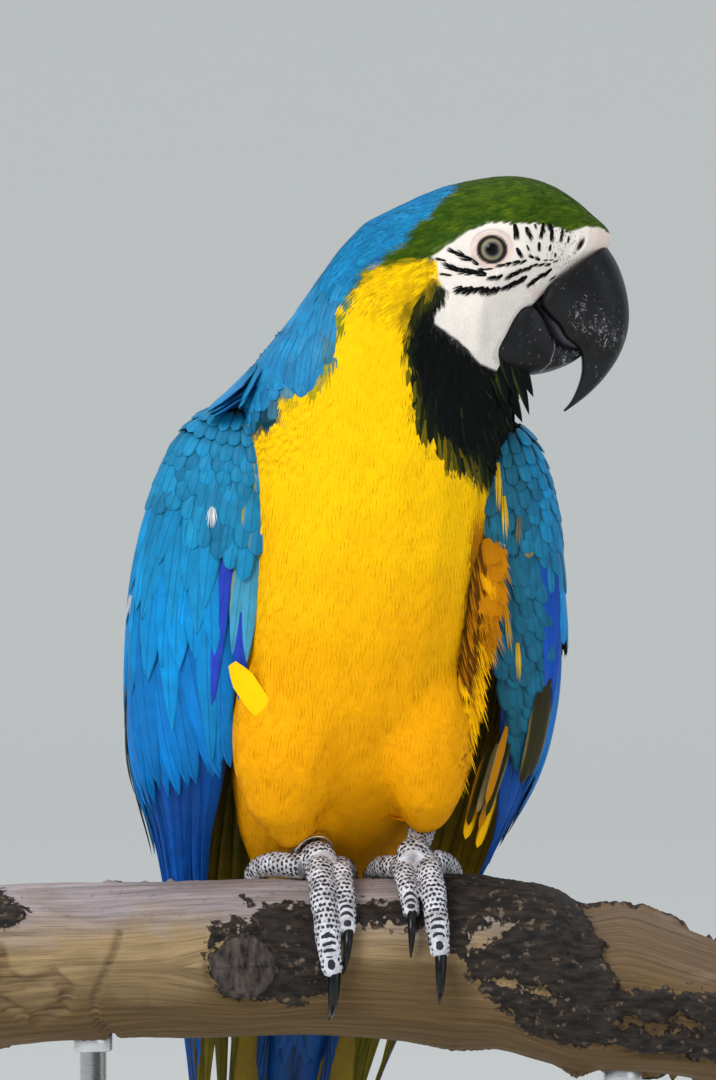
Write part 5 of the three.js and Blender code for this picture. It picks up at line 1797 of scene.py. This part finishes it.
def edge_feathers(seed):
    """Rows like those above for each piece of loose feathers, after its feather set, finish and slot:
    the single ones, the left flank over the wing, the fringe before the right wing, the beard's points
    and the shoulder's cape."""
    rng = np.random.default_rng(seed)
    flank, fringe, points, cape = [], [], [], []
    for z in np.arange(170, 56, -2.4):
        edge = column(TRUNK_AXIS, 1, z) + column(TRUNK_AXIS, 2, z)
        grown = ease(182, 148, z)
        front = 0.16 * abs(z - 130) - 16 - 4 * grown
        for back in (9.5, 6.5, 3):
            spot = z + rng.normal(0, 8)
            # Upper flank feathers take its darker orange, and the innermost ones the crease's dark brown:
            # painted shade.
            hue = "belly" if spot > 156 else "flank" if spot > 112 else "flank_low"
            hue, wide = ("crease", 4) if back > 9 and z < 160 else (hue, rng.uniform(6, 8))
            root = (edge - back + rng.normal(0, 0.8), front - 0.3 * back, z + rng.normal(0, 1.5))
            lie = (0.26 * grown + rng.normal(0, 0.08), 0.05, -0.95)
            size = blend(0.5, 1, grown)
            flank.append((root, lie, rng.uniform(15, 22) * size, wide * size, 3.2, rng.uniform(-0.5, 0.5),
                          hue,
                          "flank"))
    for z in np.arange(206, 156, -0.6):
        edge = column(TRUNK_AXIS, 1, z) - column(TRUNK_AXIS, 2, z)
        root = (edge + rng.uniform(8, 13), -23 + 0.13 * abs(z - 140), z)
        fringe.append((root, (-0.6 + rng.normal(0, 0.15), 0.05, -0.75), rng.uniform(6, 10), 2.6, 0.5, 0,
                       "throat",
                       "throat"))
    for _ in range(26):
        t = rng.uniform(0, 1)
        root = (blend(50, 67, t), -22 + rng.uniform(-4, 4), blend(230, 243, t) + rng.normal(0, 3))
        lie = (0.14 + 0.26 * t + rng.normal(0, 0.05), -0.06, -0.9)
        points.append((root, lie, rng.uniform(22, 34), rng.uniform(5.5, 8), 1, 0, "beard", "beard_edge"))
    for _ in range(150):
        z, turn = rng.uniform(214, 244), math.radians(rng.uniform(-22, 88))
        middle_x, wide, middle_y, deep = (column(TRUNK_AXIS, k, z) for k in (1, 2, 3, 4))
        out = np.array((-math.cos(turn), math.sin(turn), 0))
        root = (middle_x + 0.97 * wide * out[0], middle_y + 0.97 * deep * out[1], z)
        steep = ease(242, 218, z)
        lie = out * (0.25 + 0.6 * steep) + (rng.normal(0, 0.06), 0, -0.9 + 0.35 * steep)
        cape.append((root, lie, rng.uniform(20, 26), rng.uniform(7, 9), 0.8, rng.uniform(-0.2, 0.5), "nape",
                     "nape_edge", out * (1 - 0.4 * steep) + (0, 0, 0.9 * steep)))
    return {
        "loose": ("leaf", "soft", "plumage_yellow", LOOSE),
        "flank": ("plume", "soft", "plumage_yellow", flank),
        "fringe": ("fine", "soft", "plumage_yellow", fringe),
        "beard": ("lance", "hair", "plumage_black", points),
        "cape": ("leaf", "blue", "plumage_blue", cape),
    }


class MACAW_OT_coat(bpy.types.Operator):
    """The small feathers of the head and body, tract by tract"""

    bl_idname = "macaw.coat"
    bl_label = "Body plumage"

    def execute(self, context):
        sizes = context.scene.macaw_sizes
        colours = palette("plumage")
        skin = bpy.data.objects["skin"]
        tree = coat_tree(scattered=True)
        shapes = {
            "fine": [strands(5, 1, 0.16, seed) for seed in range(5)],
            "downy": [downy(5, seed) for seed in range(10, 16)],
            "plume": [downy(9, seed, 0.16) for seed in range(16, 20)],
            "lance": [vane(5, 7, True, 0.04, seed, bend=0.2) for seed in range(30, 34)],
            "leaf": [vane(7, 9, False, 0.05, seed, bend=0.12) for seed in range(20, 24)],
        }
        sets = {name: feather_set(name, made) for name, made in shapes.items()}
        finishes = {
            "soft": body_feather_finish("contour_feather", (0.96, 1.03), (0.95, 1.04), 0.93),
            "hair": body_feather_finish("bristly_feather", (0.7, 1.25), (0.7, 1.22), 0.6),
            "blue": flight_feather_finish("mantle_feather", 12),
        }
        for i, (tract, part, spread, ruffle, shape, look, slot) in enumerate(COAT_PIECES):
            spacing = sizes.head_spacing if part == "head" else sizes.body_spacing
            grow(f"coat_{tract}", skin.data.copy(), tree, slot, skin, sets[shape], finishes[look],
                 Tract=f"tract_{tract}", Spacing=spacing * spread, Ruffle=ruffle, Seed=sizes.seed + i)
        single = coat_tree(scattered=False)
        tufts = face_tufts(skin, colours["beard"], 5)
        grow("face_tufts", tufts, single, "plumage_black", skin, sets["fine"], finishes["hair"], Ruffle=0.1)
        for name, (shape, look, slot, rows) in edge_feathers(3).items():
            roots = Roots()
            for root, lie, length, width, rise, lift, hue, rim, *up in rows:
                up = unit(np.array(up[0] if up else (0.35 * np.sign(root[0]), -0.93, 0)))
                lie = np.array(lie) - up * (np.array(lie) @ up)
                roots.add(root, lie, up, (length, width, rise), colours[hue], colours[rim],
                          lift=lift, free=1.0)
            grow(f"edge_{name}_feathers", roots.mesh(name), single, slot, skin, sets[shape], finishes[look],
                 Ruffle=0)
        for group in sets.values():
            clear_feathers(group)
        for name in [a.name for a in skin.data.attributes if a.name.startswith(("coat_", "tract_"))]:
            skin.data.attributes.remove(skin.data.attributes[name])
        return {"FINISHED"}


class MACAW_OT_wings(bpy.types.Operator):
    """Both folded wings, row over row from the flight feathers up to the shoulder"""

    bl_idname = "macaw.wings"
    bl_label = "Wings"

    def execute(self, context):
        tree = coat_tree(scattered=False)
        colours = palette("plumage")
        shapes = {
            "flight": [vane(9, 22, True, 0.1, seed, 0.06, 0.1) for seed in range(5)],
            "covert": [vane(9, 13, False, 0.08, seed, 0.06, 0.08) for seed in range(5, 11)],
            "scale": [vane(7, 9, False, 0.06, seed, 0.06, 0.1) for seed in range(11, 17)],
            "down": [strands(13, 1, 0.05, seed) for seed in range(17, 19)],
        }
        sets = {name: feather_set(name, made, name != "down") for name, made in shapes.items()}
        quill = flight_feather_finish("flight_feather", 46)
        for hand in HANDS:
            sheet = wing_sheet(hand)
            for i, (shape, roots) in enumerate(wing_roots(hand, colours, 11).items()):
                grow(f"wing_{hand}_{shape}_vanes", roots.mesh(shape), tree, "plumage_blue",
                                   sheet,
                                   sets[shape], quill, Ruffle=0, Seed=i)
            bpy.data.objects.remove(sheet)
            plates = [f"wing_{hand}_{part}" for part in ("coverts", "secondaries", "primaries")]
            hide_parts(*plates)
        for group in sets.values():
            clear_feathers(group)
        return {"FINISHED"}


class MACAW_OT_tail(bpy.types.Operator):
    """The long stepped tail and the coverts over and under its root"""

    bl_idname = "macaw.tail"
    bl_label = "Tail"

    def execute(self, context):
        colours = palette("plumage")
        vanes = [vane(11, 44, False, 0, seed, 0.07) for seed in (40, 41, 42)]
        shapes = feather_set("tail_vane", vanes, True)
        piece = grow("tail_vanes", tail_roots(colours, 50), coat_tree(scattered=False), "plumage_blue",
                     bpy.data.objects["skin"], shapes, flight_feather_finish("tail_feather", 90), Ruffle=0)
        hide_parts(*[f"tail_feather_{hand}_{n}" for hand in HANDS for n in range(1, 7)])
        clear_feathers(shapes)
        return {"FINISHED"}


class MACAW_OT_feet(bpy.types.Operator):
    """Both feet with their claws, and the band round the right leg"""

    bl_idname = "macaw.feet"
    bl_label = "Feet, claws and leg ring"

    def execute(self, context):
        colours = palette("finishes")
        hide = foot_finish(colours)
        # Claw horn is black keratin polished on bark, so each claw shows a long thin highlight.
        horn = grained_finish("claw_keratin", (1, 1, 0.1), (500, 3), (0.4, 0.75),
                              (colours["claw"], "#14171c"), (0.16, 0.3), 0.25, (0.25, 0.2))
        # The band is rolled stainless strip: grey metal with fine scratches.
        steel = grained_finish("stainless_steel_band", (1, 1, 1), (1500, 2), (0.35, 0.7),
                               ("#e0dbcb", "#bdb7a5"), (0.2, 0.38), 0.5, (0.25, 0.1), {"Metallic": 1.0})
        for hand in HANDS:
            mesh, paths = foot_form(hand, context.scene.macaw_sizes.foot_grain)
            points, normals = places(mesh)
            height, mark, sole = scales(points, paths)
            moved(mesh, points + normals * height[:, None])
            give(mesh, mark=mark, sole=sole)
            toes = [f"toe_{hand}_{name}" for name in TOES[hand]]
            show(f"foot_{hand}", mesh, hide, "scaled_skin", (f"shank_{hand}", *toes))
            claws = [solid("claw", limb(*claw_path(toe), 28)) for toe in TOES[hand].values()]
            show(f"claws_{hand}", joined(f"claws_{hand}", claws), horn, "claw_horn",
                 [f"claw_{hand}_{name}" for name in TOES[hand]])
        show("leg_band", ring_band(), steel, "ring_metal", ("leg_ring",))
        return {"FINISHED"}


class MACAW_OT_branch(bpy.types.Operator):
    """The weathered branch with its bark, knot and cut ends"""

    bl_idname = "macaw.branch"
    bl_label = "Branch"

    def execute(self, context):
        wood = wood_finish(palette("finishes"))
        show("branch_wood", wood_surface(), wood, "driftwood", ("perch_branch",))
        return {"FINISHED"}


# A rod's outline beyond its radius of 6 mm: its collar over the base and its cap under the branch.
COLLAR = ((-0.6, -1), (0, 0), (9, 0), (9.5, 0.6), (9.5, 2.4), (8.6, 3.2), (2.6, 3.6), (2, 4.4), (2, 11),
          (1.2, 12), (0, 12))
CAP = ((0, 9), (2.2, 9), (2.6, 8.4), (2.6, 1), (2, 0))


class MACAW_OT_stand(bpy.types.Operator):
    """The turned base, the two rods and the collars that hold them"""

    bl_idname = "macaw.stand"
    bl_label = "Stand"

    def execute(self, context):
        _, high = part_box("stand_base")
        radius, thick = high[0] / MM, high[2] / MM
        profile = [(radius - 1.5, 0), (radius, 1.5), (radius, thick - CHAMFER)]
        for step in range(1, 7):
            angle = math.radians(15 * step)
            profile.append((radius - CHAMFER * (1 - math.cos(angle)),
                            thick - CHAMFER * (1 - math.sin(angle))))
        profile += [(radius - 12, thick), (radius - 12.6, thick - 0.8), (radius - 13.6, thick - 0.8),
                    (radius - 14.2, thick), (60, thick)]
        beech = base_finish(palette("finishes"))
        show("base_disc", turned(profile, 160), beech, "stand_wood", ("stand_base",))
        # Brushed stainless tube: fine scratches round it stretch the highlights.
        steel = grained_finish("brushed_stainless_steel", (0.05, 0.05, 1), (2600, 2), (0.35, 0.7),
                               ("#c9ccce", "#b3b6b9"), (0.24, 0.42), 0.5, (0.2, 0.1), {"Metallic": 1.0})
        for hand in HANDS:
            low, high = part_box(f"stand_rod_{hand}")
            x = (low[0] + high[0]) / 2 / MM
            axis, round_wood = branch_at(x)
            top = PERCH + axis - round_wood + 4
            profile = [(6 + wide, thick + rise) for wide, rise in COLLAR]
            profile += [(6 + wide, top - drop) for wide, drop in CAP]
            show(f"rod_{hand}", turned(profile, 48, x), steel, "stand_steel", (f"stand_rod_{hand}",))
        return {"FINISHED"}


class MACAW_OT_stage(bpy.types.Operator):
    """A pale floor that curves up to a low rim all round, soft studio light and the camera"""

    bl_idname = "macaw.stage"
    bl_label = "Stage"

    def execute(self, context):
        scene = context.scene
        flat, bend, rim = 7, 2.4, 1.25
        profile = [(0.01, 0), (1, 0), (3, 0), (flat, 0)]
        turns = np.linspace(0.05, rim, 16)
        profile += [(flat + bend * math.sin(turn), bend - bend * math.cos(turn)) for turn in turns]
        around = 96
        ring = xyz(*circle(around), 0)
        rings = np.array([ring * r + (0, 0, z) for r, z in profile])
        faces = [*grid(len(rings), around, True), tuple(range(around))[::-1]]
        mesh = new_mesh("floor", rings.reshape(-1, 3), faces)
        mesh.materials.append(backdrop_finish(palette("finishes")))
        placed("floor", mesh)
        for name, place, size, power, colour in (
            ("key", (-1.5, -1.8, 2.2), 1.3, 56, (1, 0.98, 0.94)),
            ("fill", (1.9, -1.7, 1), 1.6, 10, (0.95, 0.97, 1)),
            ("top", (0.2, 0.6, 2.5), 1.4, 20, (1, 1, 1)),
        ):
            light = bpy.data.lights.new(name, "AREA")
            light.size = size
            light.energy = power
            light.color = colour
            lamp = placed(name, light)
            lamp.location = place
            lamp.rotation_euler = (Vector((0, 0, 0.65)) - Vector(place)).to_track_quat("-Z", "Y").to_euler()
        world = bpy.data.worlds.new("studio")
        world.use_nodes = True
        fill(world.node_tree.nodes["Background"], {0: (0.88, 0.91, 0.95, 1), 1: 0.7})
        scene.world = world
        scene.view_settings.view_transform = "Standard"
        camera = bpy.data.cameras.new("camera")
        seen, distance, rise = 0.480, 3, math.radians(2)
        camera.sensor_fit = "VERTICAL"
        camera.angle = 2 * math.atan(seen / 2 / distance)
        holder = placed("camera", camera)
        target = Vector((0, 0, 0.641))
        holder.location = target + distance * Vector((0, -math.cos(rise), math.sin(rise)))
        holder.rotation_euler = (target - holder.location).to_track_quat("-Z", "Y").to_euler()
        scene.camera = holder
        return {"FINISHED"}


STEPS = (
    MACAW_OT_skin, MACAW_OT_eyes, MACAW_OT_bill, MACAW_OT_coat, MACAW_OT_wings, MACAW_OT_tail,
    MACAW_OT_feet, MACAW_OT_branch, MACAW_OT_stand, MACAW_OT_stage,
)


class MACAW_PT_panel(bpy.types.Panel):
    """Lists the pieces to build and the sizes and colours they use"""

    bl_label = "Macaw model"
    bl_idname = "MACAW_PT_panel"
    bl_space_type = "VIEW_3D"
    bl_region_type = "UI"
    bl_category = "Macaw"

    def draw(self, context):
        for step in STEPS:
            self.layout.operator(step.bl_idname)
        for group in ("macaw_sizes", "macaw_plumage", "macaw_finishes"):
            settings = getattr(context.scene, group)
            box = self.layout.box()
            for name in type(settings).__annotations__:
                box.prop(settings, name)


GROUPS = {
    "macaw_sizes": MACAW_PG_sizes,
    "macaw_plumage": MACAW_PG_plumage,
    "macaw_finishes": MACAW_PG_finishes,
}
CLASSES = (*GROUPS.values(), *STEPS, MACAW_PT_panel)


def register():
    for kind in CLASSES:
        bpy.utils.register_class(kind)
    for name, kind in GROUPS.items():
        setattr(bpy.types.Scene, name, PointerProperty(type=kind))


def unregister():
    for name in GROUPS:
        delattr(bpy.types.Scene, name)
    for kind in reversed(CLASSES):
        bpy.utils.unregister_class(kind)


def main():
    register()
    bpy.ops.macaw.skin()
    bpy.ops.macaw.eyes()
    bpy.ops.macaw.bill()
    bpy.ops.macaw.coat()
    bpy.ops.macaw.wings()
    bpy.ops.macaw.tail()
    bpy.ops.macaw.feet()
    bpy.ops.macaw.branch()
    bpy.ops.macaw.stand()
    bpy.ops.macaw.stage()


if __name__ == "__main__":
    main()
